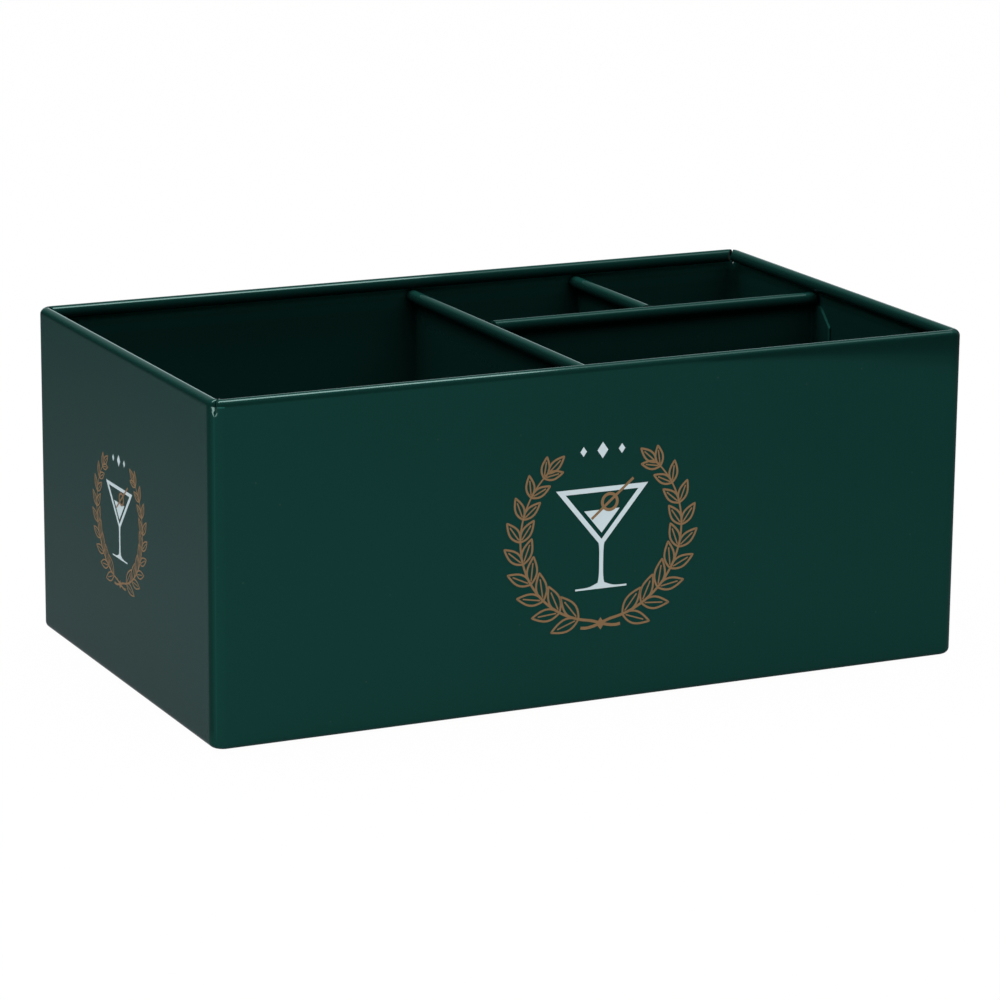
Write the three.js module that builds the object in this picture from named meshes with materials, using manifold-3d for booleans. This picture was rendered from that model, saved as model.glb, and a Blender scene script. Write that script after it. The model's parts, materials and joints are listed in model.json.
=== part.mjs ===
// Bar caddy: an open box of folded sheet steel with rolled rims, and three dividers that make
// four compartments. Millimetres. +X runs along the front from left to right, +Y to the back and
// +Z up. The origin is on the table under the middle of the caddy.
import * as THREE from 'three';
import { mergeVertices } from 'three/addons/utils/BufferGeometryUtils.js';
import Module from 'manifold-3d';

// The box
const LENGTH = 250;
const DEPTH = 147.7;
const BODY_HEIGHT = 104;
const SHEET = 0.8;
const CORNER_BEND = 3.7;
const BASE_BEND = 1.2;
const BASE_FLANGE = 11;

// The rolled rims and the slits between them
const RIM_BORE = 1.3;
const RIM_TURN = 270;
const SLIT_WIDTH = 0.6;
const SLIT_DEPTH = 6.6;
const SEAM_GAP = 0.3;

// The dividers: where the middle of each rolled top runs, and the tabs at their ends
const MAIN_X = 3.6;
const LONG_Y = 16.05;
const SHORT_X = 62.9;
const UNDER_RIM_GAP = 0.3;
const TAB_WIDTH = 11.5;
const TAB_BEND = 0.8;
const TAB_CHAMFER = 6.2;
const RIM_END_GAP = 0.3;
const RIM_END_TRIM = 0.8;

// The feet
const FOOT_RADIUS = 6;
const FOOT_STANDOFF = 1.5;
const FOOT_CHAMFER = 0.5;
const FOOT_SPACING = 2;

// Clearances and the fineness of curves
const SEAT_GAP = 0.2;
const CUT_MARGIN = 1;
const BEND_STEP = 15;
const RIM_STEP = 22.5;
const FOOT_SIDES = 32;
const PANEL_CORNER_SEGMENTS = 6;
const SAME_POINT = 1e-5;

// Heights and radii that follow from the sizes above
const baseZ = FOOT_STANDOFF;
const topZ = baseZ + BODY_HEIGHT;
const floorTop = baseZ + 2 * SHEET;
const cornerRadius = CORNER_BEND + SHEET;
const baseRadius = BASE_BEND + SHEET;
const rimRadius = RIM_BORE + SHEET;
const dividerTop = topZ - 2 * rimRadius - UNDER_RIM_GAP;
const tabTop = dividerTop - 2 * rimRadius;
const wallInside = SHEET + SEAT_GAP;

const paint = new THREE.MeshStandardMaterial({ color: 0x12342e, roughness: 0.28, metalness: 0 });
const rubber = new THREE.MeshStandardMaterial({ color: 0x161616, roughness: 0.85, metalness: 0 });

const wasm = await Module();
wasm.setup();

// Solids from closed geometries, and geometries from solids

function solidOf(geometry) {
  const bare = geometry.clone();
  bare.deleteAttribute('normal');
  bare.deleteAttribute('uv');
  const merged = mergeVertices(bare, SAME_POINT);
  const corners = merged.index.array;
  const triangles = [];
  for (let i = 0; i < corners.length; i += 3) {
    const [a, b, c] = corners.slice(i, i + 3);
    if (a !== b && b !== c && c !== a) triangles.push(a, b, c);
  }
  const mesh = new wasm.Mesh({
    numProp: 3,
    vertProperties: Float32Array.from(merged.attributes.position.array),
    triVerts: Uint32Array.from(triangles),
  });
  return new wasm.Manifold(mesh);
}

function geometryOf(solid) {
  const mesh = solid.getMesh();
  const geometry = new THREE.BufferGeometry();
  geometry.setAttribute('position', new THREE.BufferAttribute(Float32Array.from(mesh.vertProperties), 3));
  geometry.setIndex(new THREE.BufferAttribute(Uint32Array.from(mesh.triVerts), 1));
  geometry.computeVertexNormals();
  return geometry;
}

function part(name, geometry, material) {
  const mesh = new THREE.Mesh(geometry, material);
  mesh.name = name;
  return mesh;
}

// A box between two corners, as a solid

function block(low, high) {
  const size = high.clone().sub(low);
  const middle = low.clone().add(high).multiplyScalar(0.5);
  return solidOf(new THREE.BoxGeometry(size.x, size.y, size.z).translate(middle.x, middle.y, middle.z));
}

// The outline of a strip of sheet in section. It starts at a point with a heading in degrees and
// follows straight runs and bends. A bend turns left where its angle is positive, and its radius
// is the inside one.

function stripOutline(start, heading, moves) {
  const half = SHEET / 2;
  const left = [];
  const right = [];
  const at = start.clone();
  let angle = THREE.MathUtils.degToRad(heading);
  const mark = () => {
    const across = new THREE.Vector2(-Math.sin(angle), Math.cos(angle)).multiplyScalar(half);
    left.push(at.clone().add(across));
    right.push(at.clone().sub(across));
  };
  mark();
  for (const { run, turn, radius, step } of moves) {
    if (run !== undefined) {
      at.add(new THREE.Vector2(Math.cos(angle), Math.sin(angle)).multiplyScalar(run));
      mark();
      continue;
    }
    const count = Math.max(1, Math.round(Math.abs(turn) / step));
    const share = THREE.MathUtils.degToRad(turn / count);
    const toCentre = (radius + half) * Math.sign(turn);
    const centre = at.clone().add(
      new THREE.Vector2(-Math.sin(angle), Math.cos(angle)).multiplyScalar(toCentre),
    );
    for (let i = 0; i < count; i += 1) {
      angle += share;
      at.set(centre.x + Math.sin(angle) * toCentre, centre.y - Math.cos(angle) * toCentre);
      mark();
    }
  }
  const outline = [...left, ...right.reverse()];
  return THREE.ShapeUtils.isClockWise(outline) ? outline.reverse() : outline;
}

// A solid that carries a section through stations. Each station is a function that puts a point of
// the section in space.

function sweep(outline, stations) {
  const count = outline.length;
  const points = stations.flatMap((station) => outline.map((point) => station(point)));
  const index = [];
  for (let s = 0; s + 1 < stations.length; s += 1) {
    for (let i = 0; i < count; i += 1) {
      const next = (i + 1) % count;
      const [a, b] = [s * count + i, s * count + next];
      index.push(a, b, b + count, a, b + count, a + count);
    }
  }
  const last = (stations.length - 1) * count;
  for (const [a, b, c] of THREE.ShapeUtils.triangulateShape(outline, [])) {
    index.push(c, b, a, last + a, last + b, last + c);
  }
  const geometry = new THREE.BufferGeometry().setFromPoints(points);
  geometry.setIndex(index);
  const solid = solidOf(geometry);
  if (solid.volume() > 0) return solid;
  for (let i = 0; i < index.length; i += 3) [index[i], index[i + 2]] = [index[i + 2], index[i]];
  geometry.setIndex(index);
  return solidOf(geometry);
}

// The walls. A section point is its inset from the outer face and its height. Round a corner, a
// point closer to the outer face than the corner's centre turns on an arc, and one further in is
// mitred.

const CORNERS = {
  frontLeft: [-1, -1],
  frontRight: [1, -1],
  backRight: [1, 1],
  backLeft: [-1, 1],
};

function cornerStations(corner, from, to) {
  const [sideX, sideY] = CORNERS[corner];
  const centre = new THREE.Vector2(
    sideX * (LENGTH / 2 - cornerRadius),
    sideY * (DEPTH / 2 - cornerRadius),
  );
  const count = Math.round((to - from) / BEND_STEP);
  return Array.from({ length: count + 1 }, (_, i) => {
    const angle = THREE.MathUtils.degToRad(from + ((to - from) * i) / count);
    return ({ x: inset, y: height }) => {
      const reach = cornerRadius - inset;
      const outward = reach > 0 ? [Math.cos(angle), Math.sin(angle)] : [sideX, sideY];
      return new THREE.Vector3(centre.x + reach * outward[0], centre.y + reach * outward[1], height);
    };
  });
}

// A thin cut on the diagonal of a corner, between two insets and two heights

function diagonalCut(corner, width, insets, heights) {
  const [sideX, sideY] = CORNERS[corner];
  const middle = (insets[0] + insets[1]) / 2;
  const box = new THREE.BoxGeometry(
    (insets[1] - insets[0]) * Math.SQRT2,
    width,
    heights[1] - heights[0],
  );
  box.rotateZ((sideX * sideY * Math.PI) / 4);
  box.translate(
    sideX * (LENGTH / 2 - middle),
    sideY * (DEPTH / 2 - middle),
    (heights[0] + heights[1]) / 2,
  );
  return solidOf(box);
}

const wallOutline = stripOutline(new THREE.Vector2(BASE_FLANGE, baseZ + SHEET / 2), 180, [
  { run: BASE_FLANGE - baseRadius },
  { turn: -90, radius: BASE_BEND, step: BEND_STEP },
  { run: BODY_HEIGHT - baseRadius - rimRadius },
  { turn: -RIM_TURN, radius: RIM_BORE, step: RIM_STEP },
]);

// Two walls in one sheet: it starts on the diagonal of one corner, bends round the next and ends
// on the diagonal of the third. Slits part the rims, the two ends keep a seam and the base flange
// is open along its mitre at the bend.

function wrap(seamStart, bend, seamEnd, firstWall) {
  let sheet = sweep(wallOutline, [
    ...cornerStations(seamStart, firstWall - 45, firstWall),
    ...cornerStations(bend, firstWall, firstWall + 90),
    ...cornerStations(seamEnd, firstWall + 90, firstWall + 135),
  ]);
  const over = topZ + CUT_MARGIN;
  const under = baseZ - CUT_MARGIN;
  for (const corner of [seamStart, bend, seamEnd]) {
    const insets = [-CUT_MARGIN, 2 * rimRadius + CUT_MARGIN];
    sheet = sheet.subtract(diagonalCut(corner, SLIT_WIDTH, insets, [topZ - SLIT_DEPTH, over]));
  }
  const flangeEnd = BASE_FLANGE + CUT_MARGIN;
  for (const corner of [seamStart, seamEnd]) {
    sheet = sheet.subtract(diagonalCut(corner, SEAM_GAP, [-CUT_MARGIN, flangeEnd], [under, over]));
  }
  const mitre = [cornerRadius, flangeEnd];
  return sheet.subtract(diagonalCut(bend, SLIT_WIDTH, mitre, [under, baseZ + SHEET + SEAT_GAP]));
}

function floorPanel() {
  const inset = baseRadius + SEAT_GAP;
  const halfX = LENGTH / 2 - inset;
  const halfY = DEPTH / 2 - inset;
  const outline = new THREE.Shape();
  Object.values(CORNERS).forEach(([sideX, sideY], i) => {
    const start = Math.PI + (i * Math.PI) / 2;
    const x = sideX * (halfX - cornerRadius);
    const y = sideY * (halfY - cornerRadius);
    outline.absarc(x, y, cornerRadius, start, start + Math.PI / 2, false);
  });
  const options = { depth: SHEET, bevelEnabled: false, curveSegments: PANEL_CORNER_SEGMENTS };
  return new THREE.ExtrudeGeometry(outline, options).translate(0, 0, baseZ + SHEET);
}

// The dividers, each along its own X with the roll of its top centred on Y = 0 and turned towards
// -Y. tabSide is -1 where the end tabs turn to the roll's side, and 1 where they turn away from it.

function dividerTabs(length, tabSide) {
  const webMiddle = rimRadius - SHEET / 2;
  const endX = length / 2;
  const tabEnd = webMiddle + tabSide * (TAB_WIDTH - SHEET / 2);
  const straight = TAB_WIDTH - SHEET - TAB_BEND;
  const bend = { turn: 90 * tabSide, radius: TAB_BEND, step: BEND_STEP };
  const outline = stripOutline(new THREE.Vector2(-endX + SHEET / 2, tabEnd), -90 * tabSide, [
    { run: straight },
    bend,
    { run: length - 2 * (SHEET + TAB_BEND) },
    bend,
    { run: straight },
  ]);
  const options = { depth: tabTop - floorTop, bevelEnabled: false };
  const plan = new THREE.ExtrudeGeometry(new THREE.Shape(outline), options).translate(0, 0, floorTop);
  let sheet = solidOf(plan);
  const tabFoot = baseZ + baseRadius + SEAT_GAP;
  const chamferStart = webMiddle + tabSide * (TAB_WIDTH - SHEET / 2 - TAB_CHAMFER);
  const past = tabEnd + tabSide * CUT_MARGIN;
  const drop = TAB_CHAMFER + CUT_MARGIN;
  for (const end of [-1, 1]) {
    const inner = end * (endX - SHEET - TAB_BEND);
    const outer = end * (endX + CUT_MARGIN);
    const across = [Math.min(inner, outer), Math.max(inner, outer)];
    const wedge = new THREE.Shape([
      new THREE.Vector2(chamferStart, tabTop),
      new THREE.Vector2(past, tabTop - drop),
      new THREE.Vector2(past, tabTop + CUT_MARGIN),
      new THREE.Vector2(chamferStart, tabTop + CUT_MARGIN),
    ]);
    const chamfer = new THREE.ExtrudeGeometry(wedge, { depth: across[1] - across[0], bevelEnabled: false });
    chamfer.rotateX(Math.PI / 2).rotateZ(Math.PI / 2).translate(across[0], 0, 0);
    sheet = sheet.subtract(solidOf(chamfer));
    const tabLow = Math.min(past, rimRadius - SHEET) - CUT_MARGIN;
    const tabHigh = Math.max(past, rimRadius) + CUT_MARGIN;
    sheet = sheet.subtract(block(
      new THREE.Vector3(across[0], tabLow, floorTop - CUT_MARGIN),
      new THREE.Vector3(across[1], tabHigh, tabFoot),
    ));
  }
  return sheet;
}

function dividerRim(length) {
  const outline = stripOutline(new THREE.Vector2(rimRadius - SHEET / 2, tabTop - CUT_MARGIN), 90, [
    { run: rimRadius + CUT_MARGIN },
    { turn: RIM_TURN, radius: RIM_BORE, step: RIM_STEP },
  ]);
  const stations = [-1, 1].map((end) => ({ x: across, y: height }) => {
    const trim = (RIM_END_TRIM * (rimRadius - across)) / (2 * rimRadius);
    return new THREE.Vector3(end * (length / 2 - RIM_END_GAP - trim), across, height);
  });
  return sweep(outline, stations);
}

function divider(name, length, tabSide) {
  const sheet = dividerTabs(length, tabSide).add(dividerRim(length));
  return part(name, geometryOf(sheet), paint);
}

// A divider's sheet is on the far side of its roll, so the next divider starts at that face.
const mainFace = MAIN_X + rimRadius + SEAT_GAP;
const longFace = LONG_Y + rimRadius + SEAT_GAP;
const rightWall = LENGTH / 2 - wallInside;
const backWall = DEPTH / 2 - wallInside;

function mainDivider() {
  const mesh = divider('main_divider', 2 * backWall, 1);
  mesh.rotation.z = -Math.PI / 2;
  mesh.position.set(MAIN_X, 0, 0);
  return mesh;
}

function longDivider() {
  const mesh = divider('long_divider', rightWall - mainFace, -1);
  mesh.position.set((rightWall + mainFace) / 2, LONG_Y, 0);
  return mesh;
}

function shortDivider() {
  const mesh = divider('short_divider', backWall - longFace, 1);
  mesh.rotation.z = -Math.PI / 2;
  mesh.position.set(SHORT_X, (backWall + longFace) / 2, 0);
  return mesh;
}

// A round foot stuck to the floor panel, just inside the base flanges

function foot(name, [sideX, sideY]) {
  const height = FOOT_STANDOFF + SHEET;
  const profile = [
    [0, 0],
    [FOOT_RADIUS - FOOT_CHAMFER, 0],
    [FOOT_RADIUS, FOOT_CHAMFER],
    [FOOT_RADIUS, height],
    [0, height],
  ].map(([radius, z]) => new THREE.Vector2(radius, z));
  const geometry = new THREE.LatheGeometry(profile, FOOT_SIDES).rotateX(Math.PI / 2);
  const mesh = part(name, geometryOf(solidOf(geometry)), rubber);
  const inset = BASE_FLANGE + FOOT_SPACING + FOOT_RADIUS;
  mesh.position.set(sideX * (LENGTH / 2 - inset), sideY * (DEPTH / 2 - inset), 0);
  return mesh;
}

const caddy = new THREE.Group();
caddy.add(part('front_wrap', geometryOf(wrap('frontLeft', 'frontRight', 'backRight', -90)), paint));
caddy.add(part('back_wrap', geometryOf(wrap('backRight', 'backLeft', 'frontLeft', 90)), paint));
caddy.add(part('floor_panel', floorPanel(), paint));
caddy.add(mainDivider(), longDivider(), shortDivider());

const feet = new THREE.Group();
feet.add(foot('foot_front_left', CORNERS.frontLeft));
feet.add(foot('foot_front_right', CORNERS.frontRight));
feet.add(foot('foot_back_right', CORNERS.backRight));
feet.add(foot('foot_back_left', CORNERS.backLeft));
caddy.add(feet);

export default caddy;
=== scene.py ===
"""Bar caddy of folded sheet steel, dressed for a studio picture.

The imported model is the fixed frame. The folded sheets, the dividers and the feet are made again
as fine surfaces in the same places, and take the place of their plain solids. The floor panel
keeps its solid. Shapes are worked out in millimetres and go into the meshes in metres.
"""

from __future__ import annotations

import json
import logging
import math
from dataclasses import dataclass
from enum import Enum

import bpy
import numpy as np
from mathutils import Matrix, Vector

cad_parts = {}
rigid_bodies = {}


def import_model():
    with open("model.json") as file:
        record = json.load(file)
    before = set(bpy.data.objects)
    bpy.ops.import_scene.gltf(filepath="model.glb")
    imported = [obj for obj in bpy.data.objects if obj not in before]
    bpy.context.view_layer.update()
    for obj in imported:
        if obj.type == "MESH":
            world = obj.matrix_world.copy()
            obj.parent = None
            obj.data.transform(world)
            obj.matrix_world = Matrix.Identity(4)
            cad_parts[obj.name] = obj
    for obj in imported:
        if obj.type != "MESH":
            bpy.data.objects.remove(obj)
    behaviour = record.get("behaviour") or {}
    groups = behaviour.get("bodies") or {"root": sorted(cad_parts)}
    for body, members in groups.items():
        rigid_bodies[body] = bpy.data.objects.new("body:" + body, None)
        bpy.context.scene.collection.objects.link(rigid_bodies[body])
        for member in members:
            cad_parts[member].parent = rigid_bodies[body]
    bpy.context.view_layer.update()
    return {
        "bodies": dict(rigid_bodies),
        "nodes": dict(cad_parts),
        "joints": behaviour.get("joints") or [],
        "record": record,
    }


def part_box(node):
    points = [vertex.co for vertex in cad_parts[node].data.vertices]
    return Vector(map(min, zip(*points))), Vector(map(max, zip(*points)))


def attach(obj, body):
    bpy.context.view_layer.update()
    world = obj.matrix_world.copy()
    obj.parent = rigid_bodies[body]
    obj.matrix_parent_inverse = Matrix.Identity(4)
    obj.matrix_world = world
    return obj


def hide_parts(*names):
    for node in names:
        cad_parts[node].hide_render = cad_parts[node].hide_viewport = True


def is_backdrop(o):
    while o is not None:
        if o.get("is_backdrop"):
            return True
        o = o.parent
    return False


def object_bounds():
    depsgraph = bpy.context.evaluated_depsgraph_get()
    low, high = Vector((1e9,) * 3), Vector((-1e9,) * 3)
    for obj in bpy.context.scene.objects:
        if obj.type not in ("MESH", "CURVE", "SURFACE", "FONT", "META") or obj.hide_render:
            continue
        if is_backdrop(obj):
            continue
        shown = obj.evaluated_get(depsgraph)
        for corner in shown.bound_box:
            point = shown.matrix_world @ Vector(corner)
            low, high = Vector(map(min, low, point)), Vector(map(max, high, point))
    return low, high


LOG = logging.getLogger("bar_caddy")

Array = np.ndarray
MM = 0.001
BODY = "root"
TINY = 1e-6

# Points in one cell of this grid become one point. The shift keeps round lengths off its planes.
WELD_GRID = 1e-3
WELD_SHIFT = 3.717e-4
SHARP_ANGLE = math.radians(36)

# Rows of a section and stations along a wall.
RAW_EDGE_ROUND = (78.0, 54.0, 30.0, 8.0)
FOLD_ROWS = 9
ROLL_ROWS = 36
CORNER_STATIONS = 25
MIDDLE_STATIONS = 25

# Upward part of a roll's normal where the roll begins to shine and shines fully, where the painted
# shade on its lower side sets in and has set in, and where that fades and has gone.
SHINE_RISE = (0.35, 0.7)
PAINTED_SHADE_RISE = (0.0, 0.2)
PAINTED_SHADE_FADE = (0.45, 0.8)
ROLL_TOP = 0.99

# Painted light and shade: how much lighter or darker than its colour the paint is painted where light
# or shade falls.
# Painted shade on the lower side of a roll.
ROLL_PAINTED_SHADE = -0.42
# Painted highlight along a tab's chamfered top edge.
EDGE_PAINTED_HIGHLIGHT = 2.0
# Painted light on a tab's raw upright edge, which lifts the shade that it would show.
RAW_EDGE_PAINTED_HIGHLIGHT = 0.9
# Painted shade that deepens down a divider's web.
WEB_PAINTED_SHADE = -0.27
# Painted shade on the cut ends beside most slits.
CUT_PAINTED_SHADE = -0.92

# Finishes.
ROUGHNESS_SWING = 0.12
COAT_ROUGHNESS = 0.06
RIPPLE_HEIGHT = 0.0004
WHITE = (1.0, 1.0, 1.0, 1.0)


class Slot(Enum):
    """Names of material slots of the record."""

    PAINT = "paint"
    RUBBER = "rubber"


class Wall(Enum):
    """Sides of the box, numbered by the quarter turns that carry the front to each."""

    FRONT = 0
    RIGHT = 1
    BACK = 2
    LEFT = 3

    @property
    def along(self) -> Array:
        """Direction that runs along the wall, to the right as seen from outside."""
        angle = self.value * math.pi / 2
        return np.round([math.cos(angle), math.sin(angle), 0.0])

    @property
    def outward(self) -> Array:
        """Direction that the wall's outer face looks in."""
        angle = self.value * math.pi / 2
        return np.round([math.sin(angle), -math.cos(angle), 0.0])


class Zone(Enum):
    """Stretches of a folded sheet, in the order that the section meets them."""

    FLANGE = 0
    FOLD = 1
    FACE = 2
    ROLL = 3


@dataclass(frozen=True)
class Strip:
    """Section through a sheet.

    Attributes:
        middle: Points of the middle line, (rows, 2).
        across: Unit directions from the middle line to the left face, (rows, 2).
        half: Half the thickness at each row, which shrinks round a raw edge, (rows,).
        zone: Number of the zone that each row is in, (rows,).
    """

    middle: Array
    across: Array
    half: Array
    zone: Array

    def side(self, sign: int) -> Array:
        """Points of the left face where sign is 1, and of the right face where it is -1."""
        return self.middle + sign * self.half[:, None] * self.across

    def within(self, zone: Zone) -> Array:
        """Which rows are in a zone, (rows,)."""
        return self.zone == zone.value


class StripPen:
    """Draws the middle line of a sheet's section with straight runs, bends and rounded raw edges."""

    def __init__(self, start: tuple[float, float], heading: float, sheet: float) -> None:
        """Sets the pen down.

        Args:
            start: Where the sheet begins.
            heading: Direction of travel in degrees.
            sheet: Thickness of the sheet.
        """
        self._at = np.array(start, dtype=float)
        self._angle = math.radians(heading)
        self._half = sheet / 2
        self._rows: list[tuple[Array, Array, Array, Array]] = []

    def _ahead(self) -> Array:
        """Unit direction of travel."""
        return np.array([math.cos(self._angle), math.sin(self._angle)])

    def _mark(self, points: Array, angles: Array, halves: Array, zone: Zone) -> None:
        """Keeps rows of the section.

        Args:
            points: Points of the middle line, (rows, 2).
            angles: Direction of travel at each point, in radians.
            halves: Half the thickness at each point.
            zone: Zone that the rows are in.
        """
        across = np.stack([-np.sin(angles), np.cos(angles)], axis=1)
        self._rows.append((points, across, halves, np.full(len(points), zone.value)))

    def edge(self, zone: Zone, opening: bool) -> StripPen:
        """Rounds a raw edge: at angle b round the half circle, the half thickness is h cos b
        and the distance from the tip is h (1 - sin b).

        Args:
            zone: Zone that the edge is in.
            opening: True at the start of the strip, False at its end.

        Returns:
            The pen, so that calls can follow each other.
        """
        round_by = np.radians(RAW_EDGE_ROUND)
        if not opening:
            round_by = round_by[::-1]
        back = self._half * (1 - np.sin(round_by))
        reach = back if opening else self._half - back
        points = self._at + reach[:, None] * self._ahead()
        angles = np.full(len(points), self._angle)
        self._mark(points, angles, self._half * np.cos(round_by), zone)
        if opening:
            self._at = self._at + self._half * self._ahead()
        return self

    def run(self, length: float, count: int, zone: Zone, first: bool = False) -> StripPen:
        """Goes straight on.

        Args:
            length: Distance to go.
            count: Number of rows along it.
            zone: Zone that the rows are in.
            first: True to keep the row that it starts from too.

        Returns:
            The pen, so that calls can follow each other.
        """
        share = np.linspace(0, 1, count + 1)[0 if first else 1 :]
        points = self._at + (share * length)[:, None] * self._ahead()
        self._mark(points, np.full(len(share), self._angle), np.full(len(share), self._half), zone)
        self._at = self._at + length * self._ahead()
        return self

    def bend(self, angle: float, radius: float, count: int, zone: Zone) -> StripPen:
        """Turns on an arc: the middle line keeps its distance from the centre of the bend.

        Args:
            angle: Turn in degrees, to the left where it is positive.
            radius: Inside radius of the bend.
            count: Number of rows round it.
            zone: Zone that the rows are in.

        Returns:
            The pen, so that calls can follow each other.
        """
        to_centre = math.copysign(radius + self._half, angle)
        left = np.array([-math.sin(self._angle), math.cos(self._angle)])
        centre = self._at + to_centre * left
        angles = self._angle + np.radians(angle) * np.linspace(0, 1, count + 1)[1:]
        arm = np.stack([np.sin(angles), -np.cos(angles)], axis=1)
        points = centre + to_centre * arm
        self._mark(points, angles, np.full(count, self._half), zone)
        self._at = points[-1]
        self._angle = float(angles[-1])
        return self

    def strip(self) -> Strip:
        """Section that has been drawn so far."""
        columns = [np.concatenate(column) for column in zip(*self._rows)]
        return Strip(*columns)


@dataclass
class Sheet:
    """Closed thin solid between two grids of points.

    Attributes:
        left: One face, as points in millimetres, (stations, rows, 3).
        right: The other face, (stations, rows, 3).
        cells: Which patches between neighbouring stations and rows are metal,
            (stations - 1, rows - 1).
        shine: How far each point is on a rolled edge, from 0 to 1, (stations, rows).
        tone: Painted light and shade: how much lighter or darker the paint is painted at each point,
            (stations, rows).
        inner: The same for the right face, where that differs.
        ring: True where the last station meets the first, so the ends need no cap.
    """

    left: Array
    right: Array
    cells: Array | None = None
    shine: Array | None = None
    tone: Array | None = None
    inner: Array | None = None
    ring: bool = False

    def __post_init__(self) -> None:
        """Fills in a whole sheet with no rolled edge where nothing else is given."""
        stations, rows = self.left.shape[:2]
        if self.cells is None:
            self.cells = np.ones((stations - 1, rows - 1), dtype=bool)
        if self.shine is None:
            self.shine = np.zeros((stations, rows))
        if self.tone is None:
            self.tone = np.zeros((stations, rows))
        if self.inner is None:
            self.inner = self.tone

    def points(self) -> Array:
        """Points of the left face and then of the right face, (2 stations rows, 3)."""
        return np.concatenate([self.left.reshape(-1, 3), self.right.reshape(-1, 3)])

    def tones(self) -> Array:
        """Shine and tone at each of the points, (2 stations rows, 2)."""
        faces = (np.stack([self.shine, tone], axis=-1) for tone in (self.tone, self.inner))
        return np.concatenate([face.reshape(-1, 2) for face in faces])

    def quads(self) -> Array:
        """Faces of the solid: each metal cell on the left and on the right, and a strip across
        the thickness wherever metal borders on no metal.

        Returns:
            Point numbers, (faces, 4), ordered so that the faces point outwards.
        """
        stations, rows = self.left.shape[:2]
        number = np.arange(stations * rows).reshape(stations, rows)
        left, right = number, number + stations * rows
        metal = self.cells

        def corners(grid: Array) -> list[Array]:
            """Four corner numbers of every cell, round the cell."""
            return [grid[:-1, :-1], grid[1:, :-1], grid[1:, 1:], grid[:-1, 1:]]

        faces = [np.stack([c[metal] for c in corners(left)], axis=1)]
        faces.append(np.stack([c[metal] for c in corners(right)], axis=1)[:, ::-1])

        wide = np.pad(metal, ((1, 1), (0, 0)))
        ends = wide[:-1] & ~wide[1:]
        starts = ~wide[:-1] & wide[1:]
        if self.ring:
            ends[-1] = False
            starts[0] = False
        across = [left[:, :-1], right[:, :-1], right[:, 1:], left[:, 1:]]
        faces.append(np.stack([c[ends] for c in across], axis=1))
        faces.append(np.stack([c[starts] for c in across], axis=1)[:, ::-1])

        tall = np.pad(metal, ((0, 0), (1, 1)))
        tops = tall[:, :-1] & ~tall[:, 1:]
        feet = ~tall[:, :-1] & tall[:, 1:]
        across = [left[:-1], left[1:], right[1:], right[:-1]]
        faces.append(np.stack([c[tops] for c in across], axis=1))
        faces.append(np.stack([c[feet] for c in across], axis=1)[:, ::-1])

        quads = np.concatenate(faces)
        return quads if self._outward() else quads[:, ::-1]

    def _outward(self) -> bool:
        """Whether a station step, a row step and the way from right to left are right-handed,
        summed over the metal cells."""
        station = (self.left[1:, :-1] - self.left[:-1, :-1])[self.cells]
        row = (self.left[:-1, 1:] - self.left[:-1, :-1])[self.cells]
        through = (self.left[:-1, :-1] - self.right[:-1, :-1])[self.cells]
        return float(np.sum(np.cross(station, row) * through)) > 0


class Piece:
    """Collects sheets and makes one Blender object of them, with its place in its mesh."""

    def __init__(self, name: str, material: bpy.types.Material, slot: Slot) -> None:
        """Starts an empty piece.

        Args:
            name: Name of the object.
            material: Finish of its surface.
            slot: Material slot of the record; kept but not used.
        """
        self.name = name
        self.material = material
        self.slot = slot
        self._points: list[Array] = []
        self._tones: list[Array] = []
        self._faces: list[Array] = []
        self._count = 0

    def add(self, sheet: Sheet) -> Piece:
        """Adds a sheet, with points that lie on each other made one.

        Args:
            sheet: The sheet to add.

        Returns:
            The piece, so that calls can follow each other.
        """
        points = sheet.points()
        keys = np.floor((points + WELD_SHIFT) / WELD_GRID).astype(np.int64)
        _, keep, where = np.unique(keys, axis=0, return_index=True, return_inverse=True)
        faces = where.reshape(-1)[sheet.quads()]
        self._points.append(points[keep])
        self._tones.append(sheet.tones()[keep])
        self._faces.append(faces + self._count)
        self._count += len(keep)
        return self

    @staticmethod
    def _clean(quads: Array) -> list[list[int]]:
        """Drops faces that have shrunk to a line, and makes triangles of those with one
        side of no length.

        Args:
            quads: Point numbers, (faces, 4).

        Returns:
            Faces of three or four different points.
        """
        same = quads == np.roll(quads, -1, axis=1)
        short = same.sum(axis=1)
        crossed = (quads[:, 0] == quads[:, 2]) | (quads[:, 1] == quads[:, 3])
        faces = quads[(short == 0) & ~crossed].tolist()
        for corner in range(4):
            thin = quads[(short == 1) & same[:, corner] & ~crossed]
            faces += np.delete(thin, corner, axis=1).tolist()
        return faces

    def build(self, *nodes: str) -> None:
        """Makes the object, smooth except across sharp edges, and fixes it to the frame.

        Args:
            nodes: CAD nodes that it stands for.
        """
        faces = self._clean(np.concatenate(self._faces))
        points = np.concatenate(self._points) * MM
        tones = np.concatenate(self._tones).astype(np.float32)
        used = np.zeros(len(points), dtype=bool)
        used[np.concatenate([np.asarray(face) for face in faces])] = True
        renumber = np.cumsum(used) - 1
        faces = [renumber[face].tolist() for face in faces]
        mesh = bpy.data.meshes.new(self.name)
        mesh.from_pydata(points[used].tolist(), [], faces)
        for column, name in enumerate(("shine", "tone")):
            layer = mesh.attributes.new(name, "FLOAT", "POINT")
            layer.data.foreach_set("value", np.ascontiguousarray(tones[used, column]))
        mesh.polygons.foreach_set("use_smooth", np.ones(len(mesh.polygons), dtype=bool))
        mesh.set_sharp_from_angle(angle=SHARP_ANGLE)
        mesh.materials.append(self.material)
        mesh.update()
        made = bpy.data.objects.new(self.name, mesh)
        bpy.context.scene.collection.objects.link(made)
        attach(made, BODY)
        if nodes:
            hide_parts(*nodes)
        LOG.info("%s: %d faces", self.name, len(mesh.polygons))


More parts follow.
